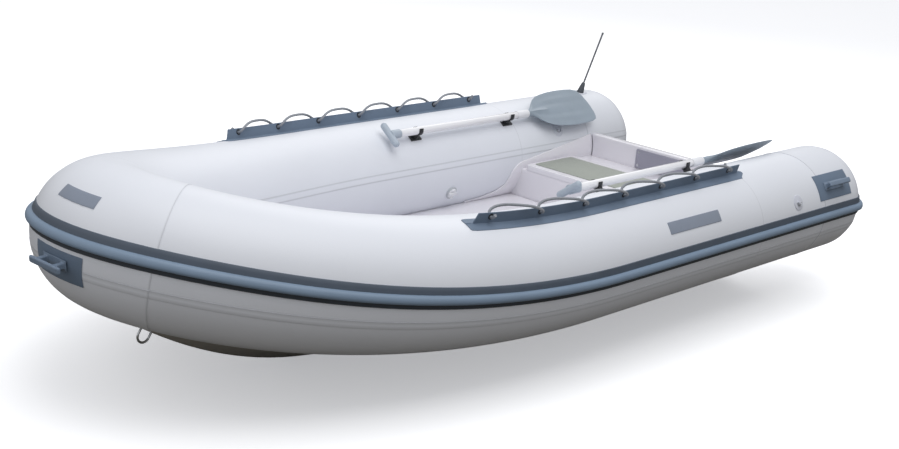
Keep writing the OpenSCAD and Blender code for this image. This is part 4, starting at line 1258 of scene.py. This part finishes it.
@dataclass
class Studio:
    """A pale floor, soft light from above and the camera.

    Attributes:
        eye: The camera's place.
        yaw: Its heading, in degrees from +X towards +Y.
        pitch: Its slope above the level.
        roll: Its turn about its own axis.
        lens: Focal length on a 36 mm sensor.
        shift: Sideways shift of the picture.
        aim: The point that the lights face.
    """

    eye: tuple[float, float, float] = (4.252, 3.698, 2.014)
    yaw: float = math.degrees(-2.418)
    pitch: float = math.degrees(-0.287)
    roll: float = math.degrees(0.089)
    lens: float = 61.17
    shift: float = 0.0078
    aim: tuple[float, float, float] = (0.0, 0.0, 0.4)

    def camera(self) -> None:
        """Places the camera."""
        yaw, pitch, roll = (math.radians(a) for a in (self.yaw, self.pitch, self.roll))
        ahead = Vector((math.cos(pitch) * math.cos(yaw), math.cos(pitch) * math.sin(yaw), math.sin(pitch)))
        right = ahead.cross(Vector((0, 0, 1))).normalized()
        above = right.cross(ahead)
        turned = right * math.cos(roll) + above * math.sin(roll)
        upright = above * math.cos(roll) - right * math.sin(roll)
        data = bpy.data.cameras.new("camera")
        data.lens = self.lens
        data.sensor_width = 36.0
        data.shift_x = self.shift
        data.clip_end = 100.0
        camera = bpy.data.objects.new("camera", data)
        matrix = Matrix((turned, upright, -ahead)).transposed().to_4x4()
        matrix.translation = Vector(self.eye)
        camera.matrix_world = matrix
        bpy.context.scene.collection.objects.link(camera)
        bpy.context.scene.camera = camera

    def light(self, name: str, place: tuple[float, float, float], size: float, power: float) -> None:
        """Adds a square soft light that faces the boat."""
        data = bpy.data.lights.new(name, "AREA")
        data.size = size
        data.energy = power
        lamp = bpy.data.objects.new(name, data)
        lamp.location = place
        lamp.rotation_euler = (Vector(self.aim) - Vector(place)).to_track_quat("-Z", "Y").to_euler()
        bpy.context.scene.collection.objects.link(lamp)

    def floor(self) -> None:
        """Lays the floor, which looks white but throws back the light of bare ground."""
        nothing_selected()
        bpy.ops.mesh.primitive_plane_add(size=60, location=(0, 0, -0.0005))
        ground = bpy.context.object
        ground.name = "studio_floor"
        material = bpy.data.materials.new("studio_floor")
        material.use_nodes = True
        shader = material.node_tree.nodes["Principled BSDF"]
        seen = add_node(material.node_tree, "ShaderNodeLightPath").outputs["Is Camera Ray"]
        tones = {0: seen, 6: linear("#6B675F"), 7: linear("#FFFFFF")}
        shade = add_node(material.node_tree, "ShaderNodeMix", tones, data_type="RGBA")
        material.node_tree.links.new(shade.outputs[2], shader.inputs["Base Color"])
        shader.inputs["Roughness"].default_value = 0.9
        material.node_tree.links.new(seen, shader.inputs["Emission Strength"])
        shader.inputs["Emission Color"].default_value = linear("#A8A9AC")
        ground.data.materials.append(material)

    def build(self) -> None:
        """Sets up the studio."""
        self.camera()
        self.floor()
        self.light("key", (0.5, 2.0, 6.5), 6.0, 230)
        self.light("fill", (5.5, -1.5, 3.2), 5.0, 35)
        self.light("back", (-4.5, -3.0, 4.5), 4.0, 70)
        world = bpy.data.worlds.new("studio")
        world.use_nodes = True
        back = world.node_tree.nodes["Background"]
        back.inputs["Color"].default_value = linear("#F4F5F8")
        back.inputs["Strength"].default_value = 0.55
        bpy.context.scene.world = world
        bpy.context.scene.view_settings.view_transform = "Standard"


def main() -> None:
    """Builds the boat and its studio."""
    logging.basicConfig(level=logging.INFO, format="%(name)s %(message)s")
    finishes = Finishes()
    for part in (Collar(), Fender(), Hull(), Locker(), Handles(), GrabLine(), Oars(), Fittings()):
        part.build(finishes)
    Studio().build()


if __name__ == "__main__":
    main()
